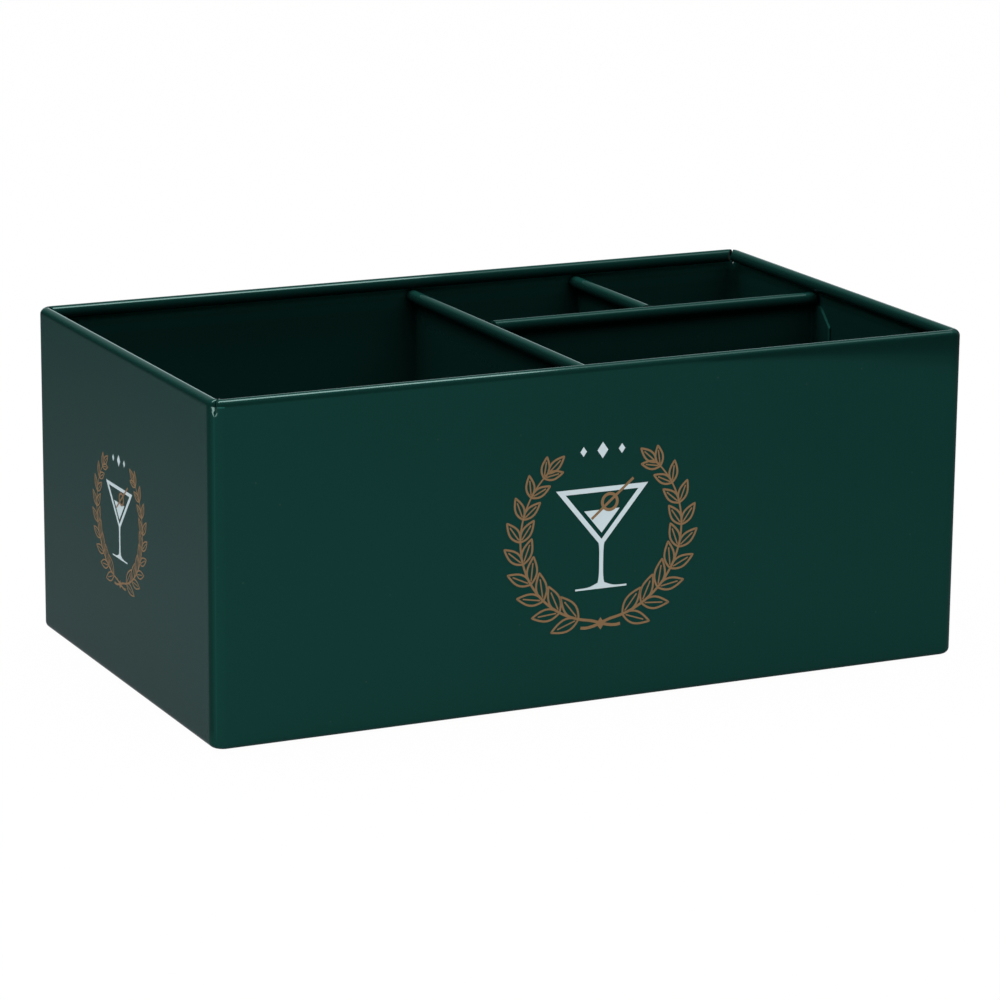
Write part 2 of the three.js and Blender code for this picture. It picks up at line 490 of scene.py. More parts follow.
def stand_in(node: str, ending: str, material: bpy.types.Material, slot: Slot, sheet: Sheet) -> None:
    """Makes a piece of one sheet that takes the place of a solid.

    Args:
        node: CAD node that it stands for.
        ending: What the piece's name adds to the node's.
        material: Finish of its surface.
        slot: Material slot of the record.
        sheet: Its shape.
    """
    Piece(f"{node}_{ending}", material, slot).add(sheet).build(node)


def smooth_step(low: float, high: float, value: Array) -> Array:
    """Rises from 0 at low to 1 at high as 3 t^2 - 2 t^3, where t is the share of the way."""
    share = np.clip((value - low) / (high - low), 0, 1)
    return share * share * (3 - 2 * share)


def rolled_shine(strip: Strip, outer: int) -> Array:
    """How far each row of a section is on the upper side of a roll: a smooth step on the upward
    part of the outer face's normal.

    Args:
        strip: The section, with height as its second coordinate.
        outer: 1 where the left face is the outer one, -1 where the right face is.

    Returns:
        Values from 0 to 1, (rows,).
    """
    return smooth_step(*SHINE_RISE, outer * strip.across[:, 1]) * strip.within(Zone.ROLL)


def rolled_painted_shade(strip: Strip, outer: int) -> Array:
    """Painted shade of each row of a section, darker on the lower side of a roll: this sets in as the
    outer face begins to turn up, fades towards the top, and comes back on the far side.

    Args:
        strip: The section, with height as its second coordinate.
        outer: 1 where the left face is the outer one, -1 where the right face is.

    Returns:
        Values from ROLL_PAINTED_SHADE to 0, (rows,).
    """
    rolled = strip.within(Zone.ROLL)
    upward = np.where(rolled, outer * strip.across[:, 1], 0.0)
    over = np.maximum.accumulate(upward) > ROLL_TOP
    begun = np.where(over, 1.0, smooth_step(*PAINTED_SHADE_RISE, upward))
    return ROLL_PAINTED_SHADE * begun * (1 - smooth_step(*PAINTED_SHADE_FADE, upward)) * rolled


@dataclass(frozen=True)
class BoxSizes:
    """Main sizes of the box in millimetres, read from the frame, and the folds of its sheet.

    Attributes:
        length: Size from left to right.
        depth: Size from front to back.
        base: Height of the base flanges' underside.
        top: Height of the rims.
        sheet: Thickness of the sheet.
        floor_top: Height of the floor panel's upper face.
        corner_bend: Inside radius of an upright bend.
        base_bend: Inside radius of the fold along the base.
        flange: Breadth of a base flange.
        rim_bore: Inside radius of a rolled rim.
        rim_turn: How far a rim is rolled, in degrees.
        slit_depth: Depth of most of the slits between rims.
    """

    length: float
    depth: float
    base: float
    top: float
    sheet: float
    floor_top: float
    corner_bend: float = 3.7
    base_bend: float = 1.2
    flange: float = 11.0
    rim_bore: float = 1.3
    rim_turn: float = 270.0
    slit_depth: float = 6.6

    @classmethod
    def from_frame(cls) -> BoxSizes:
        """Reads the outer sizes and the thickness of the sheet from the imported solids."""
        low, high = (np.array(corner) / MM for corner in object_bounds())
        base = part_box("front_wrap")[0].z / MM
        panel = [corner.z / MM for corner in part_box("floor_panel")]
        size = high - low
        return cls(size[0], size[1], base, high[2], panel[1] - panel[0], panel[1])

    @property
    def corner_radius(self) -> float:
        """Outer radius of an upright bend."""
        return self.corner_bend + self.sheet

    @property
    def base_radius(self) -> float:
        """Outer radius of the fold along the base."""
        return self.base_bend + self.sheet

    @property
    def rim_radius(self) -> float:
        """Outer radius of a rolled rim."""
        return self.rim_bore + self.sheet

    def half_run(self, wall: Wall) -> float:
        """Half the length of a wall, corner to corner."""
        return (self.length if wall.value % 2 == 0 else self.depth) / 2

    def reach(self, wall: Wall) -> float:
        """Distance of a wall's outer face from the middle of the box."""
        return (self.depth if wall.value % 2 == 0 else self.length) / 2


@dataclass(frozen=True)
class Slit:
    """Slit that parts two rims at a corner.

    Attributes:
        depth: How far it reaches down from the top of the rim.
        width: How wide it is at the rim.
        curl: How far its lips are drawn in at the rim.
        glint: How bright the lips shine, from 0 to 1.
        foot: Share of the width that it has just above its foot.
        flare: Power with which the rest of the width grows towards the rim.
    """

    depth: float
    width: float
    curl: float = 0.2
    glint: float = 0.0
    foot: float = 0.35
    flare: float = 1.0


@dataclass(frozen=True)
class CornerCut:
    """Opening on the diagonal of a corner, row by row of the section.

    Attributes:
        gap: Half the width of the opening, (rows,).
        curl: How far the lips beside it are drawn in, (rows,).
        glint: How far the lips shine, (rows,).
    """

    gap: Array
    curl: Array
    glint: Array


@dataclass
class WallWrap:
    """Two walls folded from one sheet, with a rolled rim above and a flange below.

    Attributes:
        node: CAD node that it stands for.
        walls: The two walls, from left to right as seen from outside.
        sizes: Sizes of the box.
        slits: Slits at the sheet's first end, at its bend and at its other end.
        hollow: How far the middle of a wall is drawn in between its folds.
        run_in: Straight stretch before a corner that takes finer stations.
        straight_share: Share of the station parameter that covers the straight middle.
        crowding: Power with which the stations crowd towards a diagonal.
        lip: Breadth of the lip beside a slit.
        lip_rise: Nearness to a slit where its lip begins to shine and where it shines fully.
        mitre_gap: Width of the gap between two base flanges.
        below_slit: How far below the slits the wall's finer rows reach.
        shade: Depth of the painted shade under the first wall's rim.
        end_painted_shade: Depth of the painted shade, a dark band, on the bend at the sheet's last
            end. end_painted_highlight: How much lighter the painted highlight along the seam beside
            that band is.
        end_painted_highlight: How much lighter the seam beside that band is.
        caught: How much lighter the painted highlight makes the inner face close under the roll. deep:
            How much darker the painted shade makes the inner face further down.
        deep: How much darker the inner face is further down.
    """

    node: str
    walls: tuple[Wall, Wall]
    sizes: BoxSizes
    slits: tuple[Slit, Slit, Slit]
    hollow: float = 0.25
    run_in: float = 1.4
    straight_share: float = 0.9
    crowding: float = 1.5
    lip: float = 1.3
    lip_rise: tuple[float, float] = (0.15, 0.55)
    mitre_gap: float = 0.6
    below_slit: float = 0.8
    shade: float = 0.0
    end_painted_shade: float = 0.0
    end_painted_highlight: float = 0.0
    caught: float = 3.1
    deep: float = 0.2

    def section(self) -> Strip:
        """Section of the wall, as inset from the outer face and height: along the base flange,
        up the wall and round the roll of the rim.

        Returns:
            The strip, with its rows.
        """
        s = self.sizes
        straight = s.flange - s.sheet / 2 - s.base_radius
        pen = StripPen((s.flange, s.base + s.sheet / 2), 180, s.sheet)
        pen.edge(Zone.FLANGE, opening=True)
        pen.run(straight, 3, Zone.FLANGE, first=True)
        pen.bend(-90, s.base_bend, FOLD_ROWS, Zone.FOLD)
        height = s.top - s.base - s.base_radius - s.rim_radius
        upper = s.slit_depth - s.rim_radius + self.below_slit
        pen.run(height - upper, 24, Zone.FACE)
        pen.run(upper, 14, Zone.FACE)
        pen.bend(-s.rim_turn, s.rim_bore, ROLL_ROWS, Zone.ROLL)
        pen.edge(Zone.ROLL, opening=False)
        return pen.strip()

    def stations(self) -> Array:
        """Station parameters of one wall, from -1 on one corner's diagonal to 1 on the next,
        close together round the corners."""
        turn = 1 - (1 - self.straight_share) * np.linspace(1, 0, CORNER_STATIONS) ** self.crowding
        middle = np.linspace(-self.straight_share, self.straight_share, MIDDLE_STATIONS)[1:-1]
        return np.concatenate([-turn[::-1], middle, turn])

    def hollow_at(self, wall: Wall, run: Array, height: Array) -> Array:
        """Hollow of a wall: its greatest value times 1 - (run / half run)^2 and the same for the
        height, so that it is nothing at the corners, the base and the rim.

        Args:
            wall: The wall.
            run: Distance along it from its middle.
            height: Height above the table.

        Returns:
            How far the wall is drawn in at each point.
        """
        s = self.sizes
        middle = (s.top + s.base) / 2
        half_height = (s.top - s.base) / 2
        sideways = np.clip(1 - (run / s.half_run(wall)) ** 2, 0, 1)
        upright = np.clip(1 - ((height - middle) / half_height) ** 2, 0, 1)
        return self.hollow * sideways * upright

    def cut(self, strip: Strip, slit: Slit) -> CornerCut:
        """Opening at one corner. The slit widens in proportion to the share of its depth, with
        an eased start at its foot, and its lips are drawn in likewise. Below, the base flanges
        keep the gap of their mitre.

        Args:
            strip: The wall's section.
            slit: The slit at the corner.

        Returns:
            The opening, with a value for each row.
        """
        ease_share, open_share = 0.4, 0.3
        height = strip.middle[:, 1]
        foot = self.sizes.top - slit.depth
        upper = strip.zone >= Zone.FACE.value
        rise = np.maximum.accumulate(np.clip((height - foot) / slit.depth, 0, 1) * upper)
        eased = rise * smooth_step(0.0, ease_share, rise)
        opened = smooth_step(0.0, open_share, rise)
        wide = slit.foot * opened + (1 - slit.foot) * eased**slit.flare
        wide = np.where(height > foot, wide, 0.0) * upper
        below = strip.within(Zone.FLANGE) * self.mitre_gap / 2
        gap = np.maximum(slit.width / 2 * wide, below)
        return CornerCut(gap, slit.curl * eased, slit.glint * opened)

    def nearness(self) -> Array:
        """How near each station is to a diagonal: 1 on it, 0 a lip's breadth away or further."""
        s = self.sizes
        way = self.run_in + s.corner_radius * math.pi / 4
        left = (1 - np.abs(self.stations())) / (1 - self.straight_share) * way
        return np.clip(1 - left / self.lip, 0, 1)

    def wall_points(
        self, wall: Wall, side: Array, cuts: tuple[CornerCut, CornerCut], flat: Array
    ) -> Array:
        """Carries the section along a wall from diagonal to diagonal. A point with a smaller
        inset than the corner's radius turns on an arc about the corner's centre, and one
        further in goes straight to the mitre. Beside a slit the inset grows with the square of
        the nearness to it, so that the lips curl in.

        Args:
            wall: The wall.
            side: One face of the section, as inset and height, (rows, 2).
            cuts: Openings at the wall's two corners.
            flat: 1 for rows of the flat face, which is hollow, and 0 for the rest.

        Returns:
            Points in space, (stations, rows, 3).
        """
        s = self.sizes
        share = self.stations()[:, None]
        first = share < 0
        gap = np.where(first, cuts[0].gap, cuts[1].gap)
        curl = np.where(first, cuts[0].curl, cuts[1].curl) * self.nearness()[:, None] ** 2
        inset, height = side[:, 0][None, :] + curl, side[:, 1][None, :]
        radius = np.maximum(s.corner_radius - inset, 0)
        straight = s.half_run(wall) - np.maximum(inset, s.corner_radius) - self.run_in
        slant = np.where(inset < s.corner_radius, 1.0, math.sqrt(2))
        turn = self.run_in + radius * math.pi / 4 - gap * slant
        travel = np.abs(share)
        tail = np.clip(travel - self.straight_share, 0, 1) / (1 - self.straight_share) * turn
        body = np.minimum(travel / self.straight_share, 1) * straight
        angle = np.maximum(tail - self.run_in, 0) / np.maximum(radius, TINY)
        angle = np.where(radius > TINY, angle, 0)
        run = body + np.minimum(tail, self.run_in) + radius * np.sin(angle)
        run = run * np.sign(share)
        depth = np.where(inset < s.corner_radius, s.corner_radius - radius * np.cos(angle), inset)
        depth = depth + flat[None, :] * self.hollow_at(wall, run, height)
        outward = s.reach(wall) - depth
        points = run[..., None] * wall.along + outward[..., None] * wall.outward
        points[..., 2] = height
        return points

    def face_point(self, wall: Wall, run: Array, height: Array, lift: float) -> Array:
        """Points on a wall's outer face.

        Args:
            wall: The wall.
            run: Distance along the wall from its middle, to the right as seen from outside.
            height: Height above the table.
            lift: Distance out from the face.

        Returns:
            Points in space, with 3 as the last size.
        """
        outward = self.sizes.reach(wall) - self.hollow_at(wall, run, height) + lift
        points = run[..., None] * wall.along + outward[..., None] * wall.outward
        points[..., 2] = height
        return points

    def sheet_metal(self) -> Sheet:
        """Both walls as one sheet. On each diagonal the rims are parted by a slit, which closes
        to a point at its foot, and the base flanges by the gap of their mitre.

        Returns:
            The folded sheet.
        """
        strip = self.section()
        start, bend, end = (self.cut(strip, slit) for slit in self.slits)
        spans = ((self.walls[0], (start, bend)), (self.walls[1], (bend, end)))
        flat = strip.within(Zone.FACE) * 1.0
        sides = []
        for sign in (1, -1):
            side = strip.side(sign)
            halves = [self.wall_points(wall, side, cuts, flat) for wall, cuts in spans]
            sides.append(np.concatenate(halves))
        first = self.stations()[:, None] < 0
        lips = np.concatenate([np.where(first, cuts[0].glint, cuts[1].glint) for _, cuts in spans])
        gaps = np.concatenate([np.where(first, cuts[0].gap, cuts[1].gap) for _, cuts in spans])
        near = np.tile(smooth_step(*self.lip_rise, self.nearness())[:, None], (2, 1))
        shine = rolled_shine(strip, outer=1) * (1 - near) + lips * near
        stations = len(first)
        cells = np.ones((2 * stations - 1, len(flat) - 1), dtype=bool)
        cells[stations - 1] = np.maximum(bend.gap[:-1], bend.gap[1:]) <= 0
        # Painted shade under the rolls and the front rim, with the painted shade and highlight of the
        # last bend.
        tone = np.minimum(rolled_painted_shade(strip, outer=1), self.rim_painted_shade(strip)) + self.end_tone(strip)
        ends = np.tile(np.abs(self.stations())[:, None] >= 1, (2, 1))
        # Painted shade on the cut ends beside slits whose lips do not shine.
        tone = np.where(ends & (gaps > 0) & (lips <= 0), CUT_PAINTED_SHADE, tone)
        # The inner face adds its painted highlight under the roll and its painted shade further down.
        return Sheet(sides[0], sides[1], cells, shine, tone, tone + self.inner_tone(strip))

    def inner_tone(self, strip: Strip) -> Array:
        """How the tone of the inner face differs: a painted highlight close under the roll, where
        light is caught between them, and a little painted shade further down.

        Args:
            strip: The wall's section.

        Returns:
            Values to add to the tone, (rows,).
        """
        caught_fade, deep_rise = (4.0, 8.4), (7.0, 14.0)
        drop = self.sizes.top - strip.middle[:, 1]
        caught = self.caught * (1 - smooth_step(*caught_fade, drop))
        deep = self.deep * smooth_step(*deep_rise, drop)
        return np.where(strip.within(Zone.FACE), caught - deep, 0.0)

    def end_tone(self, strip: Strip) -> Array:
        """Painted shade and highlight on the bend at the sheet's last end, by the angle turned from
        the second wall: a painted dark band beside the wall and a thin painted highlight along the
        seam on the diagonal.

        Args:
            strip: The wall's section.

        Returns:
            Values round 0, (stations of both walls, rows).
        """
        band_rise, band_fade, line_rise = (2.0, 11.0), (22.0, 40.0), (40.5, 43.0)
        radius = self.sizes.corner_radius
        way = self.run_in + radius * math.pi / 4
        tail = (self.stations()[:, None] - self.straight_share) / (1 - self.straight_share) * way
        angle = np.degrees((tail - self.run_in) / radius)
        band = smooth_step(*band_rise, angle) * (1 - smooth_step(*band_fade, angle))
        line = smooth_step(*line_rise, angle)
        tone = (self.end_painted_highlight * line - self.end_painted_shade * band) * strip.within(Zone.FACE)
        return np.concatenate([np.zeros_like(tone), tone])

    def rim_painted_shade(self, strip: Strip) -> Array:
        """Painted shade under the first wall's rim, which reaches further down towards the bend. With
        u from 0 to 1 over the last stretch, its edge lies further below the top and is softer in
        proportion to u^2. It ends a little way round the bend.

        Args:
            strip: The wall's section.

        Returns:
            Values from minus the painted shade to 0, (stations of both walls, rows).
        """
        start, stretch, set_in, past_bend = 20.0, 100.0, 20.0, 0.1
        edge_start, edge_growth = 2.2, 6.8
        soft_start, soft_growth = 0.4, 7.0
        share = self.stations()[:, None]
        run = share * self.sizes.half_run(self.walls[0])
        reach = np.clip((run - start) / stretch, 0, 1) ** 2
        drop = (self.sizes.top - strip.middle[:, 1])[None, :]
        edge = edge_start + edge_growth * reach
        soft = soft_start + soft_growth * reach
        begun = smooth_step(0.0, set_in, run - start)
        below = 1 - smooth_step(*PAINTED_SHADE_FADE, strip.across[:, 1]) * strip.within(Zone.ROLL)
        dark = -self.shade * begun * (1 - smooth_step(-1.0, 1.0, (drop - edge) / soft)) * below
        round_bend = dark[-1:] * (1 - smooth_step(0.0, past_bend, share + 1))
        return np.concatenate([dark, round_bend])

    def build(self, material: bpy.types.Material) -> None:
        """Makes the wrap in the place of its solid."""
        stand_in(self.node, "sheet", material, Slot.PAINT, self.sheet_metal())


@dataclass
class Divider:
    """Upright sheet with a rolled top and a bent tab at each end.

    In its own frame the divider runs along X, the roll of its top is centred on Y = 0 and turned
    towards -Y, and the web is on the +Y side.

    Attributes:
        node: CAD node that it stands for.
        sizes: Sizes of the box.
        length: Length over the tabs.
        middle: Where the middle of the rolled top lies in plan.
        turned: True where the divider runs from the front to the back.
        tab_side: 1 where the tabs turn away from the roll, -1 where they turn to its side.
        top: Height of the rolled top.
        tab_width: Breadth of a tab, with its bend.
        tab_bend: Inside radius of a tab's bend.
        tab_chamfer: Size of the chamfer on a tab's upper corner.
        end_gap: How far the roll's ends stay back from the tabs' outer faces.
        end_trim: How far the roll's ends lean in towards its open side.
        foot_gap: How far the tabs stay above the fold along the base.
        edge_row: Share of a station's height where its top edge begins.
        tip: Margin that tells a tab's rounded raw edge from its flat.
        painted_shade_depth: Depth below the shoulder where the painted shade on the web is full.
    """

    node: str
    sizes: BoxSizes
    length: float
    middle: Array
    turned: bool
    tab_side: int
    top: float
    tab_width: float = 11.5
    tab_bend: float = 0.8
    tab_chamfer: float = 6.2
    end_gap: float = 0.3
    end_trim: float = 0.8
    foot_gap: float = 0.2
    edge_row: float = 0.995
    tip: float = 0.02
    painted_shade_depth: float = 12.0

    @classmethod
    def from_frame(cls, node: str, sizes: BoxSizes, turned: bool, tab_side: int) -> Divider:
        """Reads the divider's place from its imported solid.

        Args:
            node: CAD node of the divider.
            sizes: Sizes of the box.
            turned: True where it runs from the front to the back.
            tab_side: 1 where the tabs turn away from the roll, -1 where they turn to its side.

        Returns:
            The divider.
        """
        low, high = (np.array(corner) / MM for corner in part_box(node))
        run, side = (1, 0) if turned else (0, 1)
        middle = (low + high)[:2] / 2
        middle[side] = high[side] - sizes.rim_radius
        if tab_side > 0:
            middle[side] = low[side] + sizes.rim_radius
        return cls(node, sizes, high[run] - low[run], middle, turned, tab_side, high[2])

    @property
    def shoulder(self) -> float:
        """Height where the tabs end and the roll begins to close."""
        return self.top - 2 * self.sizes.rim_radius

    def plan(self) -> Strip:
        """Middle line seen from above: a tab, its bend, the web, the other bend and tab.

        Returns:
            The strip, with a station in each row.
        """
        s = self.sizes
        side = self.tab_side
        web = s.rim_radius - s.sheet / 2
        start = (-self.length / 2 + s.sheet / 2, web + side * (self.tab_width - s.sheet / 2))
        straight = self.tab_width - s.sheet - self.tab_bend
        chamfer = self.tab_chamfer
        pen = StripPen(start, -90 * side, s.sheet)
        pen.edge(Zone.FLANGE, opening=True)
        pen.run(chamfer - s.sheet / 2, 4, Zone.FLANGE, first=True)
        pen.run(straight - chamfer, 3, Zone.FLANGE)
        pen.bend(90 * side, self.tab_bend, 8, Zone.FOLD)
        pen.run(self.length - 2 * (s.sheet + self.tab_bend), 24, Zone.FACE)
        pen.bend(90 * side, self.tab_bend, 8, Zone.FOLD)
        pen.run(straight - chamfer, 3, Zone.FLANGE)
        pen.run(chamfer - s.sheet / 2, 4, Zone.FLANGE)
        pen.edge(Zone.FLANGE, opening=False)
        return pen.strip()

    def roll(self) -> Strip:
        """Section of the top, as Y and height: up from the shoulder and round the roll.

        Returns:
            The strip, without its first row, which the web shares.
        """
        s = self.sizes
        pen = StripPen((s.rim_radius - s.sheet / 2, self.shoulder), 90, s.sheet)
        pen.run(s.rim_radius, 4, Zone.FACE)
        pen.bend(s.rim_turn, s.rim_bore, ROLL_ROWS, Zone.ROLL)
        pen.edge(Zone.ROLL, opening=False)
        return pen.strip()

    def sheet_metal(self) -> Sheet:
        """The divider as one sheet. Below the shoulder each station of the plan rises straight
        from its foot to its top edge. Above it the section of the roll follows the web, and its
        ends run on past the bends, trimmed so that they lean in towards the open side.

        Returns:
            The folded sheet in the frame of the box.
        """
        s = self.sizes
        plan, roll = self.plan(), self.roll()
        web = np.flatnonzero(plan.zone == Zone.FACE.value)
        web = np.concatenate([[web[0] - 1], web])
        tab_foot = s.base + s.base_radius + self.foot_gap
        foot = np.full(len(plan.zone), tab_foot)
        foot[web] = s.floor_top
        web_line = s.rim_radius - s.sheet / 2
        out = np.abs(plan.middle[:, 1] - web_line)
        start = self.tab_width - s.sheet / 2 - self.tab_chamfer
        top = self.shoulder - np.maximum(out - start, 0)
        top[web] = self.shoulder
        share = np.append(np.linspace(0, self.edge_row, 9), 1.0)[None, :]
        rise = foot[:, None] + share * (top - foot)[:, None]
        ends = np.zeros(len(plan.zone))
        ends[web[0]], ends[web[-1]] = -1, 1
        sides = []
        for sign in (1, -1):
            flat = plan.side(sign)
            low = np.stack(np.broadcast_arrays(flat[:, :1], flat[:, 1:], rise), axis=-1)
            curl = roll.side(-sign)
            lean = self.end_trim * (s.rim_radius - curl[:, 0]) / (2 * s.rim_radius)
            last = self.length / 2 - self.end_gap - lean
            along = np.where(ends[:, None] == 0, plan.middle[:, :1], ends[:, None] * last[None, :])
            high = np.stack(np.broadcast_arrays(along, curl[:, 0], curl[:, 1]), axis=-1)
            sides.append(self.placed(np.concatenate([low, high], axis=1)))
        rows = sides[0].shape[1]
        cells = np.ones((len(plan.zone) - 1, rows - 1), dtype=bool)
        cells[:, share.size - 1 :] = False
        cells[web[0] : web[-1], share.size - 1 :] = True
        web_rows = np.zeros(share.size)
        # Coat on the upper side of the roll, and painted shade on its lower side.
        shine, tone = (
            np.tile(np.concatenate([web_rows, along(roll, outer=-1)]), (len(plan.zone), 1))
            for along in (rolled_shine, rolled_painted_shade)
        )
        # Painted shade that deepens down the web below the shoulder.
        tone[:, : share.size] = WEB_PAINTED_SHADE * smooth_step(0.0, self.painted_shade_depth, self.shoulder - rise)
        # Painted light on the raw upright edges of the tabs, lifting their shade.
        tone[out > self.tab_width - s.sheet + self.tip, : share.size] = RAW_EDGE_PAINTED_HIGHLIGHT
        # Painted highlight along the chamfered top edge of each tab.
        tone[out > start, share.size - 1] = EDGE_PAINTED_HIGHLIGHT
        return Sheet(sides[0], sides[1], cells, shine, tone)

    def placed(self, points: Array) -> Array:
        """Turns the divider's own frame into the box's.

        Args:
            points: Points in the divider's frame.

        Returns:
            The same points in the frame of the box.
        """
        x, y, z = np.moveaxis(points, -1, 0)
        if self.turned:
            x, y = y, -x
        return np.stack([x + self.middle[0], y + self.middle[1], z], axis=-1)

    def build(self, material: bpy.types.Material) -> None:
        """Makes the divider in the place of its solid."""
        stand_in(self.node, "sheet", material, Slot.PAINT, self.sheet_metal())


@dataclass
class StickOnFoot:
    """Thin round rubber foot with a rounded lower edge and a shallow ring in its sole.

    Attributes:
        node: CAD node that it stands for.
        round_edge: Radius of the lower edge.
        dish: Depth of the ring in the sole.
    """

    node: str
    round_edge: float = 0.6
    dish: float = 0.25

    def rubber(self) -> Sheet:
        """A disc turned about its axis: the top is level, and the sole is a dished ring that
        runs into a quarter circle at the edge.

        Returns:
            The foot as a closed ring of stations.
        """
        ring_start, ring_breadth = 0.45, 0.4
        low, high = (np.array(corner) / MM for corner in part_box(self.node))
        centre = (low + high) / 2
        radius = (high[0] - low[0]) / 2
        flat = radius - self.round_edge
        inner = np.linspace(0, flat, 13)
        across_ring = np.clip((inner / flat - ring_start) / ring_breadth, 0, 1)
        sole = self.dish * np.sin(np.pi * across_ring) ** 2
        edge = np.radians(np.linspace(0, 90, 9)[1:])
        reach = np.concatenate([inner, flat + self.round_edge * np.sin(edge)])
        under = np.concatenate([sole, self.round_edge * (1 - np.cos(edge))]) + low[2]
        around = np.linspace(0, 2 * math.pi, 49)[:, None]
        x = centre[0] + reach * np.cos(around)
        y = centre[1] + reach * np.sin(around)
        top = np.stack(np.broadcast_arrays(x, y, high[2]), axis=-1)
        bottom = np.stack(np.broadcast_arrays(x, y, under[None, :]), axis=-1)
        return Sheet(top, bottom, ring=True)

    def build(self, material: bpy.types.Material) -> None:
        """Makes the foot in the place of its solid."""
        stand_in(self.node, "pad", material, Slot.RUBBER, self.rubber())


@dataclass
class Emblem:
    """Printed roundel of two leafy sprigs round a stemmed glass, in two inks.

    Attributes:
        wrap: The wrap that carries the print.
        wall: The wall that it is on.
        centre: Middle of the print along the wall and above the table.
        scale: Size against a roundel 70 mm across.
        line: Width of a thin line.
        ink: Thickness of the dry ink.
        sunk: How far the ink's underside lies in the paint.
    """

    wrap: WallWrap
    wall: Wall
    centre: tuple[float, float]
    scale: float = 1.0
    line: float = 0.62
    ink: float = 0.03
    sunk: float = 0.02

    def film(self, edge_a: Array, edge_b: Array, lift: float) -> Sheet:
        """A film of ink between two edges, laid on the wall.

        Args:
            edge_a: One edge in the print's own plane, (points, 2).
            edge_b: The other edge.
            lift: Thickness of the ink.

        Returns:
            The film as a closed thin sheet.
        """
        across = np.linspace(0, 1, 3)[None, :, None]
        flat = edge_a[:, None, :] * (1 - across) + edge_b[:, None, :] * across
        run = self.centre[0] + self.scale * flat[..., 0]
        height = self.centre[1] + self.scale * flat[..., 1]
        top = self.wrap.face_point(self.wall, run, height, lift)
        under = self.wrap.face_point(self.wall, run, height, -self.sunk)
        closed = np.allclose(edge_a[0], edge_a[-1]) and np.allclose(edge_b[0], edge_b[-1])
        return Sheet(top, under, ring=closed)

    def ribbon(self, path: Array, width: Array | float, lift: float) -> Sheet:
        """A line of ink: half its width to each side of a path, square to the path.

        Args:
            path: Points of the path, (points, 2).
            width: Width of the line, one for all or one for each point.
            lift: Thickness of the ink.

        Returns:
            The line as a film.
        """
        step = np.gradient(path, axis=0)
        closed = np.allclose(path[0], path[-1])
        if closed:
            step[[0, -1]] = path[1] - path[-2]
        step = step / np.linalg.norm(step, axis=1, keepdims=True)
        across = np.stack([-step[:, 1], step[:, 0]], axis=1)
        half = np.broadcast_to(np.asarray(width) / 2, len(path))[:, None]
        return self.film(path - half * across, path + half * across, lift)

    @staticmethod
    def leaf(base: Array, heading: float, length: float, breadth: float) -> tuple[Array, Array]:
        """Outline and rib of a leaf. At share q of its length the half breadth is
        1.2 sin(pi q)^0.9 (1 - 0.35 q) times half the breadth.

        Args:
            base: Where the leaf leaves its stem.
            heading: Direction of the leaf in radians.
            length: Length of the leaf.
            breadth: Breadth near its middle.

        Returns:
            The closed outline and the rib, as points in the print's plane.
        """
        swell, bluntness, taper = 1.2, 0.9, 0.35
        rib_start, rib_end = 0.12, 0.78
        share = (1 - np.cos(np.linspace(0, math.pi, 15))) / 2
        half = breadth / 2 * np.sin(np.pi * share) ** bluntness * (1 - taper * share) * swell
        there = np.stack([share * length, half], axis=1)
        back = np.stack([share * length, -half], axis=1)[::-1][1:]
        rib_share = np.linspace(rib_start, rib_end, 6)
        rib = np.stack([rib_share * length, np.zeros(6)], axis=1)
        cosine, sine = math.cos(heading), math.sin(heading)
        turn = np.array([[cosine, sine], [-sine, cosine]])
        return np.concatenate([there, back]) @ turn + base, rib @ turn + base

    def sprigs(self) -> list[Sheet]:
        """Two sprigs that rise from the foot of the roundel, one on each side. Each stem is an
        arc of a circle, a little wider past its foot, with pairs of leaves that grow shorter
        towards its tip. A small lozenge ties the stems.

        Returns:
            Lines of ink.
        """
        radius = 27.0
        foot_turn, tip_turn = -103, 48
        tail_turn, tail_length, tail_reach = -81, 22, 2.6
        pairs, first_leaf, leaf_sweep = 9, -74, 118
        longest, loss, slimness, lean = 9.6, 3.2, 0.4, 0.62
        tip_leaf = (7.0, 2.8)
        knot_drop, knot_size = 1.1, 1.9
        lines: list[Sheet] = []
        for side in (-1, 1):
            turn = np.linspace(foot_turn, tip_turn, 53)
            angles = np.radians(turn)
            reach = radius + tail_reach * smooth_step(0, tail_length, tail_turn - turn)
            stem = np.stack([side * reach * np.cos(angles), reach * np.sin(angles)], axis=1)
            width = self.line * np.linspace(1.5, 0.7, len(stem))
            lines.append(self.ribbon(stem, width, self.layer(3 + side)))
            for pair in range(pairs):
                share = pair / (pairs - 1)
                base, ahead = self.on_stem(radius, side, math.radians(first_leaf + leaf_sweep * share))
                length = longest - loss * share
                size = (length, slimness * length)
                lines += self.leaf_lines(base, ahead - lean, size, self.layer(1))
                lines += self.leaf_lines(base, ahead + lean, size, self.layer(3))
            tip, ahead = self.on_stem(radius, side, angles[-1])
            lines += self.leaf_lines(tip, ahead, tip_leaf, self.layer(5))
        knot = np.array([0.0, -radius - knot_drop])
        lines.append(self.lozenge(knot, knot_size, self.layer(6)))
        return lines

    @staticmethod
    def on_stem(radius: float, side: int, angle: float) -> tuple[Array, float]:
        """Point of a stem and the stem's heading there.

        Args:
            radius: Radius of the stem's arc.
            side: 1 for the right stem, -1 for the left one.
            angle: Angle up from level, in radians.

        Returns:
            The point in the print's plane and the heading in radians.
        """
        point = radius * np.array([side * math.cos(angle), math.sin(angle)])
        return point, math.atan2(math.cos(angle), -side * math.sin(angle))

